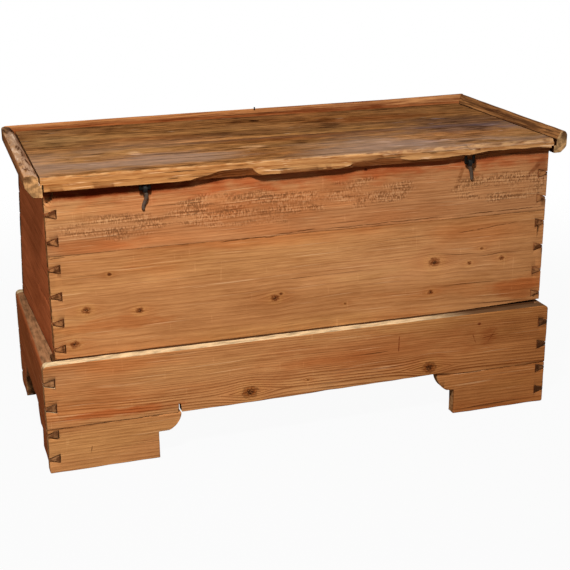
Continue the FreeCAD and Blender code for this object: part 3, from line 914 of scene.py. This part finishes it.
def front_foot_mould(place):
    """The end feet at the front reach down nearly to the floor."""
    drop = FOOT_DROP * share_of(place.z, FOOT_DROP_FROM, end_foot_bottom)
    return plinth_mould(place - Vector((0, 0, drop)))


END_MOULDS = {
    "left_end_apron": left_apron_mould,
    "left_end_front_foot": front_foot_mould,
    "right_end_front_foot": front_foot_mould,
}


def corner_cuts():
    """Extra cuts where the plinth's corners are rounded."""
    along = [plinth_low.x + CORNER_ROUNDING * share for share in CORNER_STEPS]
    along += [plinth_high.x - CORNER_ROUNDING * share for share in CORNER_STEPS]
    up = [plinth_high.z - CORNER_ROUNDING * share for share in CORNER_STEPS]
    up += [FOOT_ROUNDING * share for share in CORNER_STEPS]
    return {X: along, Z: up}


def right_foot_mould(place):
    """The lobe is short, and the foot's inner lower corner is worn."""
    foot_inner = right_lobe_tip + LOBE_LENGTH
    place = rounded_corner(place, (foot_inner, 0.0), (1, 1), FOOT_ROUNDING, X, Z)
    lobe = share_of(place.x, foot_inner, right_lobe_tip)
    place = place + Vector((LOBE_SHORTER * lobe, 0, LOBE_RISE * lobe))
    return plinth_mould(place)


def apron_mould(place):
    """The saw cut by the left lobe slants and widens downwards. Over the right lobe the glue line is open."""
    rise = share_of(place.x, APRON_RISE_FROM, right_lobe_tip)
    rise *= share_of(place.x, right_lobe_tip + APRON_RISE_LENGTH, right_lobe_tip)
    rise *= share_of(place.z, apron_bottom + APRON_RISE_HEIGHT, apron_bottom)
    place = place + Vector((0, 0, APRON_RISE * rise))
    if abs(place.x - KERF_X) < KERF_REACH and place.z < KERF_TOP + TOLERANCE:
        through = (place.y - plinth_low.y) / apron_thickness
        spread = KERF_WIDER + KERF_SPREAD * (KERF_TOP - place.z) / (KERF_TOP - apron_bottom)
        side = 1 if place.x > KERF_X else 0
        place = place + Vector((KERF_SLANT * through + spread * side, 0, 0))
    return plinth_mould(place)


# Knots: place along and across the board, radius
APRON_KNOTS = ((-0.170, 0.140, 15 * MM), (0.306, 0.140, 14 * MM), (-0.020, 0.152, 3 * MM))

# Stains: centre and half sizes along and across the board, tint, share
APRON_SPOTS = (
    ((-0.50, 0.134), (0.16, 0.012), (0.88, 0.58, 0.44), 0.9),
    ((0.442, 0.243), (0.006, 0.005), (0.40, 0.22, 0.18), 0.9),
    ((0.12, 0.200), (0.34, 0.060), (0.86, 0.73, 0.66), 0.8),
    ((-0.30, 0.215), (0.20, 0.035), (1.04, 1.10, 1.10), 0.7),
    ((0.47, 0.205), (0.030, 0.022), (0.80, 0.62, 0.54), 0.6),
    ((-0.62, 0.245), (0.060, 0.030), (1.06, 1.20, 1.40), 0.7),
)

# Cracks and scars: start and end along and across the board, half width, tint, share
APRON_STROKES = (
    ((0.221, 0.240), (0.220, 0.192), 1.8 * MM, (0.42, 0.20, 0.16), 0.9),
    ((0.450, 0.200), (0.502, 0.212), 1.5 * MM, (0.50, 0.32, 0.26), 0.7),
    ((0.468, 0.188), (0.494, 0.228), 1.4 * MM, (0.50, 0.32, 0.26), 0.6),
    ((0.425, 0.218), (0.435, 0.190), 1.5 * MM, (0.45, 0.26, 0.20), 0.8),
)


def make_plinth_back(cuts):
    back = plinth_wood("plinth_back", 1, APRON_KNOTS, top=CREAM, dim=True, figure=0.55, spots=APRON_SPOTS,
                       strokes=APRON_STROKES)
    worn("back_apron", back, spacing=10 * MM, cuts=cuts, mould=apron_mould, seed=1)
    foot = plinth_wood("plinth_back_feet", 2, pith=(-0.05, -0.20), dim=True, figure=0.12,
                       pale=(0.72, 0.318, 0.114),
                       strokes=(((-0.562, 0.040), (-0.558, 0.058), 1.5 * MM, CRACKED, 0.8),))
    lobe_cuts = {
        X: cuts[X] + steps(left_lobe_tip - LOBE_LENGTH, left_lobe_tip, LOBE_SPACING),
        Z: cuts[Z] + steps(apron_bottom - LOBE_LENGTH, apron_bottom, LOBE_SPACING),
    }
    worn("back_left_foot", foot, spacing=9 * MM, cuts=lobe_cuts, mould=plinth_mould, seed=2)
    worn("back_right_foot", foot, spacing=9 * MM, cuts=cuts, mould=right_foot_mould, seed=3)


def make_plinth_front(cuts):
    front = plinth_wood("plinth_front", 3, ((0.32, 0.16, 10 * MM), (-0.28, 0.20, 7 * MM)), pith=(0.05, 0.18),
                        top=darker(CREAM, 0.8))
    for index, node in enumerate(("front_apron", "front_left_foot", "front_right_foot")):
        worn(node, front, cuts=cuts, mould=plinth_mould, seed=10 + index)


def make_plinth_ends(cuts):
    for end, pins in (("left", LEFT_PINS), ("right", RIGHT_PINS)):
        # redder, darker palette of the plinth's ends: partly their own colour, partly painted shade of faces
        # turned from the light
        wood = plinth_wood(end + "_plinth_end", 4, axes="yzx", pith=(-1.5, 0.0), top=(0.30, 0.140, 0.062),
                           pale=(0.42, 0.115, 0.037), deep=(0.14, 0.028, 0.008), pins=pins)
        for index, part in enumerate(("_end_apron", "_end_back_foot", "_end_front_foot")):
            mould = END_MOULDS.get(end + part, plinth_mould)
            worn(end + part, wood, grain=Y, cuts=cuts, mould=mould, seed=20 + index)


def make_ledgers():
    rail = raw_wood("ledger_wood", 5, "xzy", pale=GRIME_AND_SHADE, deep=DARK)
    for index, node in enumerate(("back_ledger", "front_ledger")):
        worn(node, rail, spacing=40 * MM, seed=30 + index)


def make_plinth():
    cuts = corner_cuts()
    make_plinth_back(cuts)
    make_plinth_front(cuts)
    make_plinth_ends(cuts)
    make_ledgers()


# Body

lip_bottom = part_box("front_moulding")[0].z
body_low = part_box("back_lower_plank")[0]
body_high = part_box("front_upper_plank")[1]
LIFT = 7 * MM                # the back's lower edge at its right end
LIFT_FROM = 0.38
LIFT_HEIGHT = 30 * MM
LIFT_DEPTH = 80 * MM
RACK = 16 * MM               # how far the left end's front bottom corner stands out
RACK_FROM = -0.30
CHIP_WIDTH = 22 * MM
CHIP_HEIGHT = 34 * MM
CHIP_DEPTH = 11 * MM
CHIP_RAGGED = 3 * MM
CHIP_GRAIN = 6 * MM
CHIP_STEPS = (0.25, 0.45, 0.6, 0.75, 0.88, 0.99, 1.08)


def body_mould(place):
    """The lower edge rises towards the back's right end, and the left end is racked outwards at its foot."""
    rise = share_of(place.x, LIFT_FROM, body_high.x)
    rise *= share_of(place.z, body_low.z + LIFT_HEIGHT, body_low.z)
    rise *= share_of(place.y, body_low.y + LIFT_DEPTH, body_low.y)
    rack = share_of(place.x, RACK_FROM, body_low.x)
    rack *= share_of(place.y, body_low.y, body_high.y)
    rack *= share_of(place.z, lip_bottom, body_low.z)
    place = place + Vector((-RACK * rack, 0, LIFT * rise))
    if place.z < lip_bottom - TOLERANCE:
        place = skewed(place, body_low, body_high)
    return place


def chipped(place):
    """The upper plank's corner is broken away beside the left moulding."""
    along = (place.x - body_low.x) / CHIP_WIDTH
    down = (body_high.z - place.z) / CHIP_HEIGHT
    if along ** 2 + down ** 2 < 1.0 and place.y < body_low.y + CHIP_DEPTH:
        ragged = CHIP_RAGGED * wave(place, (CHIP_GRAIN, CHIP_GRAIN, CHIP_GRAIN), 3)
        return Vector((place.x, body_low.y + CHIP_DEPTH + ragged, place.z))
    return place


# Stains, painted shade, cracks and knots of the walls, with values as on the plinth
UPPER_STAINS_AND_SHADE = (
    # painted shade: a reddish dark band along the whole wall just under the lid's overhang
    ((0.0, 0.680), (1.5, 0.050), (0.86, 0.52, 0.40), 0.9),
    # painted shadow under the lid, darkest at the left
    ((-0.46, 0.668), (0.26, 0.020), (0.36, 0.16, 0.12), 0.95),
    ((-0.34, 0.625), (0.30, 0.040), (1.02, 0.88, 0.78), 0.7),
    # painted shade under the lid, right of the middle
    ((0.25, 0.668), (0.30, 0.012), (0.72, 0.48, 0.42), 0.8),
    ((-0.52, 0.535), (0.12, 0.024), (0.96, 0.74, 0.60), 0.8),
    ((0.134, 0.663), (0.006, 0.004), (0.20, 0.14, 0.12), 0.9),
    ((0.610, 0.630), (0.020, 0.040), (0.62, 0.46, 0.40), 0.7),
)
UPPER_STROKES = (
    ((0.392, 0.654), (0.372, 0.592), 7 * MM, (0.60, 0.50, 0.42), 0.8),
    ((0.604, 0.648), (0.564, 0.604), 8 * MM, (0.44, 0.28, 0.22), 0.7),
    ((-0.10, 0.5225), (0.01, 0.5285), 1.5 * MM, CRACKED, 0.8),
    ((0.02, 0.5255), (0.36, 0.5290), 1.4 * MM, CRACKED, 0.8),
    ((0.40, 0.5290), (0.63, 0.5310), 1.5 * MM, CRACKED, 0.9),
)
LOWER_SPOTS = (
    ((0.56, 0.318), (0.10, 0.034), (0.84, 0.60, 0.46), 0.8),
    ((-0.50, 0.345), (0.16, 0.020), (0.92, 0.70, 0.56), 0.7),
    ((-0.10, 0.470), (0.50, 0.050), (1.02, 1.08, 1.06), 0.7),
    ((0.28, 0.430), (0.34, 0.075), (1.12, 1.16, 1.26), 0.8),
)
LOWER_STROKES = (
    ((-0.24, 0.5195), (-0.08, 0.5195), 1.5 * MM, CRACKED, 0.9),
    ((0.376, 0.481), (0.557, 0.498), 1.4 * MM, CRACKED, 0.8),
    ((-0.63, 0.5175), (-0.55, 0.5180), 1.4 * MM, CRACKED, 0.8),
)
FRONT_KNOTS = ((0.20, 0.55, 8 * MM), (-0.36, 0.40, 10 * MM), (0.45, 0.34, 6 * MM))
LOWER_KNOTS = (
    (-0.548, 0.386, 9 * MM), (-0.425, 0.372, 8 * MM), (-0.096, 0.365, 9 * MM), (-0.080, 0.374, 4 * MM),
    (-0.491, 0.467, 4 * MM), (0.322, 0.413, 12 * MM), (0.419, 0.400, 5 * MM), (0.510, 0.405, 6 * MM),
    (0.315, 0.334, 6 * MM), (0.453, 0.436, 4 * MM), (-0.579, 0.306, 9 * MM), (0.085, 0.330, 3 * MM),
)


def make_back_wall():
    upper = wall_wood("back_upper", 11, crackle=True, pale=(0.57, 0.262, 0.106), deep=(0.18, 0.050, 0.012),
                      spots=UPPER_STAINS_AND_SHADE, strokes=UPPER_STROKES)
    chip_cuts = {
        X: [body_low.x + CHIP_WIDTH * share for share in CHIP_STEPS],
        Z: [body_high.z - CHIP_HEIGHT * share for share in CHIP_STEPS],
    }
    worn("back_upper_plank", upper, rounding=0.25 * MM, wear=0.15 * MM, spacing=10 * MM,
         cuts=chip_cuts, mould=chipped, seed=41)
    lower = wall_wood("back_lower", 12, LOWER_KNOTS, pith=(0.10, 0.25), spots=LOWER_SPOTS,
                      strokes=LOWER_STROKES)
    lift_cuts = {Z: [body_low.z + LIFT_HEIGHT / 2, body_low.z + LIFT_HEIGHT]}
    worn("back_lower_plank", lower, rounding=0.25 * MM, wear=0.15 * MM, spacing=10 * MM,
         cuts=lift_cuts, mould=body_mould, seed=42)


def make_other_walls():
    front = wall_wood("front_planks", 13, FRONT_KNOTS)
    for index, node in enumerate(("front_upper_plank", "front_lower_plank")):
        worn(node, front, mould=body_mould, seed=43 + index)
    for end, outline in (("left", 0.80), ("right", 0.45)):
        wood = end_wood(end + "_end_planks", 14, outline)
        for index, part in enumerate(("_end_upper_plank", "_end_lower_plank")):
            worn(end + part, wood, grain=Y, mould=body_mould, seed=50 + index)


def make_floor_boards():
    raw = raw_wood("floor_boards", 15)
    for index in range(3):
        node = "floor_board_%d" % (index + 1)
        worn(node, raw, spacing=40 * MM, mould=body_mould, seed=60 + index)


def make_body():
    make_back_wall()
    make_other_walls()
    make_floor_boards()


# Lid

lid_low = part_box("lid_back_plank")[0]
lid_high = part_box("lid_front_plank")[1]
lid_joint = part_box("lid_front_plank")[0].y
lip_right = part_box("right_moulding")[0].x
lip_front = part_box("front_moulding")[0].y
TONGUE = 7 * MM              # how far the planks reach over the mouldings' lip
TONGUE_THICKNESS = 18 * MM
tongue_bottom = lid_high.z - TONGUE_THICKNESS
LID_SPACING = 8 * MM
LEFT_GAP = 3.5 * MM          # open joints between the planks' ends and the end mouldings
RIGHT_GAP = 6.5 * MM
JOINT_HALF = 0.4 * MM        # half the open joint between the planks
JOINT_BEVEL = 1.6 * MM
EDGE_RUN = 5 * MM            # where the top turns down to the back edge
TOP_SPACING = 32 * MM

# Wane along the lid's back edge: place along X, height above the underside and depth, in mm
WANE = (
    (-640, 1, 1), (-300, 1, 1), (-284, 5, 3), (-240, 15, 9), (-215, 19, 11), (-154, 19, 11), (-140, 6, 4),
    (-128, 2, 1), (62, 3, 2), (84, 6, 4), (100, 13, 7), (165, 19, 9), (200, 16, 8), (250, 8, 6),
    (340, 8, 6), (380, 11, 9), (400, 10, 10), (450, 16, 14), (520, 16, 16), (600, 14, 15), (640, 12, 14),
)
NICK_X = 0.402
NICK_WIDTH = 9 * MM
NICK_DEPTH = 6 * MM


def lid_top_at(x, y):
    """Height of the worn upper face."""
    worn_down = wave((x, y, 0.0), (0.35, 0.035, 1.0), 71) + 0.6 * wave((x, y, 0.0), (0.12, 0.012, 1.0), 72)
    return lid_high.z - 0.5 * MM * (1.0 + worn_down * 0.6)


def lid_stations(low, high):
    """Places along X, twice where the planks step up to their tongues."""
    left = LEFT_GAP - lip_right
    right = lip_right - RIGHT_GAP
    middle = [left] + steps(left, right, LID_SPACING) + [right]
    return [(low + LEFT_GAP, tongue_bottom), (left, tongue_bottom)] + [(x, lid_low.z) for x in middle] + [
        (right, tongue_bottom), (high - RIGHT_GAP, tongue_bottom)]


def back_plank_loop(x, bottom):
    height, depth = between(WANE, x / MM)
    height = max(1.0, height + 1.6 * wave((x, 0, 0), (0.022, 1, 1), 73)) * MM
    depth = max(0.8, depth + 0.8 * wave((x, 0, 0), (0.03, 1, 1), 74)) * MM
    ragged = 1.0 + 0.9 * wave((x, 0, 0), (0.05, 1, 1), 75) + 0.5 * wave((x, 0, 0), (0.014, 1, 1), 76)
    chips = max(0.0, wave((x, 0, 0), (0.035, 1, 1), 77) - 0.1) * (6.0 if x > 0.15 else 1.0)
    nick = NICK_DEPTH * max(0.0, 1.0 - abs(x - NICK_X) / NICK_WIDTH)
    face = lid_low.y + ragged * MM
    roll = 4.5 * share_of(x, 0.05, 0.30)
    crest = face + (0.8 + chips + roll) * MM + nick
    joint = lid_joint - JOINT_HALF
    wane_z = max(lid_low.z + height, bottom + 0.5 * MM)
    top = lid_high.z
    fall = (1.2 + 0.8 * chips + 0.5 * roll) * MM + 0.6 * nick
    loop = [((x, joint, bottom), 0.0), ((x, joint, top - 1.5 * MM), 0.0)]
    first = joint - JOINT_BEVEL
    last = crest + EDGE_RUN
    for y in (first, *reversed(steps(last, first, TOP_SPACING)), last):
        loop.append(((x, y, lid_top_at(x, y)), 0.0))
    loop.append(((x, crest + 1.5 * MM, lid_top_at(x, crest) - 0.4 * fall), 1.0))
    loop.append(((x, crest, top - fall - 0.6 * MM), 1.0))
    loop.append(((x, face, top - fall - (4.0 + 0.5 * roll) * MM), 0.4))
    loop.append(((x, face + 0.6 * MM, (top + wane_z) / 2), 0.0))
    loop.append(((x, face, wane_z), 0.3))
    loop.append(((x, face + 0.6 * depth, (wane_z + bottom) / 2), 0.0))
    loop.append(((x, face + depth, bottom), 0.0))
    return loop


def front_plank_loop(x, bottom):
    joint = lid_joint + JOINT_HALF
    low_front = lip_front - 0.2 * MM
    high_front = lip_front + TONGUE - 0.2 * MM
    top = lid_high.z
    loop = [((x, joint, bottom), 0.0), ((x, low_front, bottom), 0.0), ((x, low_front, tongue_bottom), 0.0),
            ((x, high_front, tongue_bottom + 0.2 * MM), 0.0), ((x, high_front, top - 2.0 * MM), 0.0)]
    first = joint + JOINT_BEVEL
    last = high_front - 1.8 * MM
    for y in (last, *reversed(steps(first, last, TOP_SPACING)), first):
        loop.append(((x, y, lid_top_at(x, y)), 0.0))
    loop.append(((x, joint, top - 1.5 * MM), 0.0))
    return loop


LEFT_CORNER_ROUNDING = 26 * MM
RIGHT_CORNER_ROUNDING = 14 * MM
RIGHT_LIP = lid_low.z - 2 * MM
RIGHT_NARROWER = 3 * MM
MOULDING_WEAR = 0.9 * MM
END_WEAR = 1.5 * MM
CREST_POINTS = range(9, 16)  # points of the section that lie on its rounded crest

# Height of each moulding above the lid: share of its length, mm
FRONT_RISES = ((0, 11), (0.2, 14), (0.8, 19), (1, 23))
LEFT_RISES = ((0, 6), (0.2, 8), (1, 10))
RIGHT_RISES = ((0, 19), (0.6, 21), (1, 23))


def moulding_section(width, rise, crest, flat, lip):
    """Section of a moulding as (out, z) points, from the tongue's joint down the lip and round outside."""
    top = lid_high.z
    high = top + rise
    foot = 22 * MM
    waist = max(lid_low.z + 12.5 * MM, lip + 14 * MM)
    points = [(TONGUE, tongue_bottom), (0.0, tongue_bottom), (0.0, lip + 1 * MM), (1.5 * MM, lip)]
    points += [(foot - 3 * MM, lip), (foot, lip + 1.2 * MM)]
    points += [(width - 3 * MM, waist - 4 * MM), (width - 0.5 * MM, waist), (width, waist + 6 * MM)]
    for index in range(7):
        turn = math.pi / 2 * index / 6
        points.append((width - crest * (1 - math.cos(turn)), high - crest * (1 - math.sin(turn))))
    slope = width - crest - flat - TONGUE
    for share in (1.0, 0.85, 0.5, 0.15):
        points.append((TONGUE + slope * share, top + rise * share))
    points.append((TONGUE + 0.8 * MM, top + 0.3 * MM))
    points.append((TONGUE, top - 1.0 * MM))
    return points


def lid_corners(place):
    """Outer corners of the mouldings, worn round in plan."""
    outer_x = cad_high.x
    outer_y = cad_high.y
    place = rounded_corner(place, (-outer_x, outer_y), (1, -1), LEFT_CORNER_ROUNDING, X, Y)
    return rounded_corner(place, (outer_x, outer_y), (-1, -1), RIGHT_CORNER_ROUNDING, X, Y)


def make_moulding(node, material, width, rises, crest, flat, lip, travel, seed):
    """travel(out, share) gives the plan place of a section's point, rises the height along the moulding."""
    stations = [0.0, 0.003, *steps(0.003, 0.997, 0.014), 0.997, 1.0]
    loops = []
    for share in stations:
        shrink = END_WEAR if share in (0.0, 1.0) else 0.0
        rise, = between(rises, share)
        loop = []
        for index, (out, z) in enumerate(moulding_section(width, rise * MM, crest, flat, lip)):
            point = travel(out, share)
            point.z = z
            rim = 1.0 if index in CREST_POINTS else 0.0
            worn_in = MOULDING_WEAR * (1.0 + wave(point, (0.06, 0.06, 0.02), seed)) * (0.3 + 0.7 * rim)
            inward = Vector((0, 0, lid_high.z - 10 * MM - z))
            if out > TONGUE and inward.length > 0:
                point = point + inward.normalized() * (worn_in + shrink)
            loop.append((lid_corners(point), rim))
        loops.append(loop)
    return finish_piece(node + "_worn", skin(loops), material, "lid", [node])


# Stains of the lid's two planks
LID_BACK_SPOTS = (
    ((0.46, -0.15), (0.26, 0.160), (1.22, 1.34, 1.60), 0.85),
    ((0.49, -0.035), (0.20, 0.130), (0.62, 0.66, 1.00), 1.0),
    ((-0.40, -0.15), (0.28, 0.110), (1.10, 1.18, 1.40), 0.75),
    ((0.24, -0.20), (0.26, 0.080), (1.25, 1.36, 1.56), 0.75),
    ((0.06, -0.04), (0.34, 0.060), (0.72, 0.58, 0.48), 0.8),
    ((-0.105, -0.125), (0.034, 0.026), (1.7, 2.0, 2.7), 0.8),
    ((-0.39, -0.105), (0.020, 0.024), (1.6, 1.9, 2.6), 0.7),
    ((0.41, -0.237), (0.034, 0.012), (0.35, 0.30, 0.28), 0.9),
    ((-0.18, -0.105), (0.034, 0.012), (0.45, 0.38, 0.34), 0.8),
    ((0.02, -0.125), (0.026, 0.010), (0.45, 0.38, 0.34), 0.8),
)
LID_FRONT_SPOTS = (
    ((0.32, 0.13), (0.28, 0.050), (0.74, 0.58, 0.48), 0.9),
    ((0.05, 0.19), (0.55, 0.060), (1.14, 1.05, 0.94), 0.7),
    ((0.49, -0.035), (0.20, 0.130), (0.62, 0.66, 1.00), 1.0),
    ((-0.30, 0.06), (0.22, 0.030), (0.70, 0.56, 0.50), 0.7),
    ((-0.10, 0.05), (0.32, 0.050), (0.82, 0.78, 0.74), 0.9),
    ((-0.55, 0.10), (0.10, 0.100), (1.05, 1.25, 1.50), 0.6),
    ((0.215, 0.122), (0.020, 0.012), (1.6, 1.9, 2.4), 0.7),
    ((0.17, 0.085), (0.040, 0.030), (0.60, 0.62, 0.66), 0.7),
)


def make_lid_planks():
    back = lid_wood("lid_back", 21, spots=LID_BACK_SPOTS)
    low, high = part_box("lid_back_plank")
    bm = skin([back_plank_loop(x, bottom) for x, bottom in lid_stations(low.x, high.x)])
    finish_piece("lid_back_plank_worn", bm, back, "lid", ["lid_back_plank"])
    front = lid_wood("lid_front", 22, ((-0.006, 0.198, 13 * MM),), LID_FRONT_SPOTS)
    bm = skin([front_plank_loop(x, bottom) for x, bottom in lid_stations(low.x, high.x)])
    finish_piece("lid_front_plank_worn", bm, front, "lid", ["lid_front_plank"])


def make_mouldings():
    width = cad_high.x - lip_right
    near = lid_low.y
    warm = moulding_wood("front_moulding", "xyz", 23, (0.50, 0.205, 0.068), (0.13, 0.032, 0.008),
                         spots=(((0.50, 0.27), (0.50, 0.100), (1.22, 1.36, 1.55), 0.85),))
    grey = moulding_wood("left_moulding", "yxz", 24, (0.37, 0.135, 0.049), (0.08, 0.024, 0.009), top="bare",
                         end=(0.54, 0.272, 0.105),
                         spots=(((0.265, -0.650), (0.070, 0.032), (0.20, 0.14, 0.12), 0.95),),
                         joint=1)
    brown = moulding_wood("right_moulding", "yxz", 25, (0.38, 0.165, 0.054), (0.070, 0.022, 0.007),
                          top="grimy", end=(0.56, 0.310, 0.130), joint=-1)

    def along_front(out, share):
        return Vector(((lip_right + out) * (2 * share - 1), lip_front + out, 0))

    def along_end(side):
        def travel(out, share):
            return Vector((side * (lip_right + out), near + (lip_front + out - near) * share, 0))

        return travel

    make_moulding("front_moulding", warm, width, FRONT_RISES, crest=7 * MM, flat=1 * MM, lip=lip_bottom,
                  travel=along_front, seed=81)
    make_moulding("left_moulding", grey, width, LEFT_RISES, crest=4 * MM, flat=17 * MM, lip=lip_bottom,
                  travel=along_end(-1), seed=82)
    make_moulding("right_moulding", brown, width - RIGHT_NARROWER, RIGHT_RISES, crest=11 * MM, flat=7 * MM,
                  lip=RIGHT_LIP, travel=along_end(1), seed=83)


def make_lid():
    make_lid_planks()
    make_mouldings()


# Irons

hinge_axis_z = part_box("front_moulding")[0].z
HINGE_SWELL = 2.0 * MM       # the hanging legs are hammered out flat and wide
LEG_TOP = 8 * MM
LEG_LENGTH = 44 * MM
LEG_BENDS = {                # each leg's bow, its drift at the tip and how much shorter it has worn
    "left": (-2 * MM, -1 * MM, 4 * MM),
    "right": (2 * MM, 7 * MM, 8 * MM),
}


def leg_swell(place):
    return HINGE_SWELL * share_of(place.z, hinge_axis_z - 6 * MM, hinge_axis_z - 11 * MM)


def leg_mould(end):
    """The bend of a hanging leg."""
    bow, drift, shorter = LEG_BENDS[end]

    def mould(place):
        down = share_of(place.z, hinge_axis_z - LEG_TOP, hinge_axis_z - LEG_TOP - LEG_LENGTH)
        return place + Vector((bow * math.sin(math.pi * down) + drift * down, 0, shorter * down))

    return mould


def make_irons():
    # the hinge eyes are painted black from 12 mm under the hinge axis upwards, as shade under the lid
    rubbed = forged_iron("rubbed_iron", (0.085, 0.058, 0.040), 0.12, soot_and_shade_from=hinge_axis_z - 12 * MM)
    # the staples are painted black all over, as shade under the lid; the nails take the same black
    iron = forged_iron("sooty_shaded_iron", SOOT_AND_SHADE, 0.0)
    for end in ("left", "right"):
        worn(end + "_hinge_eye", rubbed, grain=Z, rounding=0.5 * MM, wear=0.4 * MM,
             dents=0.25 * MM, spacing=3 * MM, swell=leg_swell, mould=leg_mould(end), seed=91)
        worn(end + "_hinge_staple", iron, body="lid", rounding=0.5 * MM, wear=0.3 * MM,
             dents=0.25 * MM, spacing=3 * MM, seed=92)
    for node in ("moulding_nails", "ledger_nails", "bent_nail"):
        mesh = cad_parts[node].data
        mesh.materials.clear()
        mesh.materials.append(iron)


# Stage


def floor_material():
    """Pale floor that the camera sees as nearly white, and that fades into the white background."""
    material, g, _ = new_material("studio_floor")
    tree = material.node_tree
    tree.nodes.clear()
    seen = g.background_rays()
    pale = g.add("ShaderNodeBsdfDiffuse")
    pale.inputs["Color"].default_value = (FLOOR_TONE, FLOOR_TONE, FLOOR_TONE, 1)
    white = g.add("ShaderNodeEmission")
    white.inputs["Color"].default_value = (1, 1, 1, 1)
    lit = g.add("ShaderNodeMixShader")
    g.put(lit.inputs[0], g.times(seen, FLOOR_WHITE))
    tree.links.new(pale.outputs[0], lit.inputs[1])
    tree.links.new(white.outputs[0], lit.inputs[2])
    distance = g.vector("DISTANCE", g.add("ShaderNodeTexCoord").outputs["Object"], (0.0, 0.0, 0.0))
    fade = g.times(g.step(distance, FLOOR_FADE, FLOOR_RADIUS * 0.9), seen)
    clear = g.add("ShaderNodeBsdfTransparent")
    whole = g.add("ShaderNodeMixShader")
    g.put(whole.inputs[0], fade)
    tree.links.new(lit.outputs[0], whole.inputs[1])
    tree.links.new(clear.outputs[0], whole.inputs[2])
    output = g.add("ShaderNodeOutputMaterial")
    tree.links.new(whole.outputs[0], output.inputs["Surface"])
    return material


def make_floor():
    bm = bmesh.new()
    bmesh.ops.create_circle(bm, cap_ends=True, segments=96, radius=FLOOR_RADIUS)
    mesh = bpy.data.meshes.new("floor")
    bm.to_mesh(mesh)
    bm.free()
    mesh.materials.append(floor_material())
    add_object("floor", mesh)


def make_world():
    world = bpy.data.worlds.new("studio")
    bpy.context.scene.world = world
    world.use_nodes = True
    tree = world.node_tree
    g = Graph(tree)
    background = tree.nodes["Background"]
    background.inputs["Color"].default_value = (1, 1, 1, 1)
    seen = g.background_rays()
    g.put(background.inputs["Strength"], g.linear(seen, 1.0 - AMBIENT, AMBIENT))


def make_light(name, place, aim, size, power):
    lamp = bpy.data.lights.new(name, "AREA")
    lamp.shape = "DISK"
    lamp.size = size
    lamp.energy = power
    light = add_object(name, lamp)
    light.location = place
    light.rotation_mode = "QUATERNION"
    light.rotation_quaternion = (aim - place).to_track_quat("-Z", "Y")


def make_camera():
    data = bpy.data.cameras.new("camera")
    data.sensor_width = SENSOR
    data.lens = LENS
    data.clip_end = 100.0
    camera = add_object("camera", data)
    back = -CAMERA_FORWARD.normalized()
    up = back.cross(CAMERA_RIGHT.normalized())
    turn = Matrix((CAMERA_RIGHT.normalized(), up, back)).transposed()
    camera.matrix_world = Matrix.Translation(CAMERA_PLACE) @ turn.to_4x4()
    bpy.context.scene.camera = camera


make_camera()
make_world()
make_light("key", KEY_PLACE, KEY_AIM, KEY_SIZE, KEY_POWER)
make_light("fill", FILL_PLACE, FILL_AIM, FILL_SIZE, FILL_POWER)
make_light("rear", REAR_PLACE, REAR_AIM, REAR_SIZE, REAR_POWER)
make_floor()
make_plinth()
make_body()
make_lid()
make_irons()

bpy.context.scene.view_settings.view_transform = "Standard"
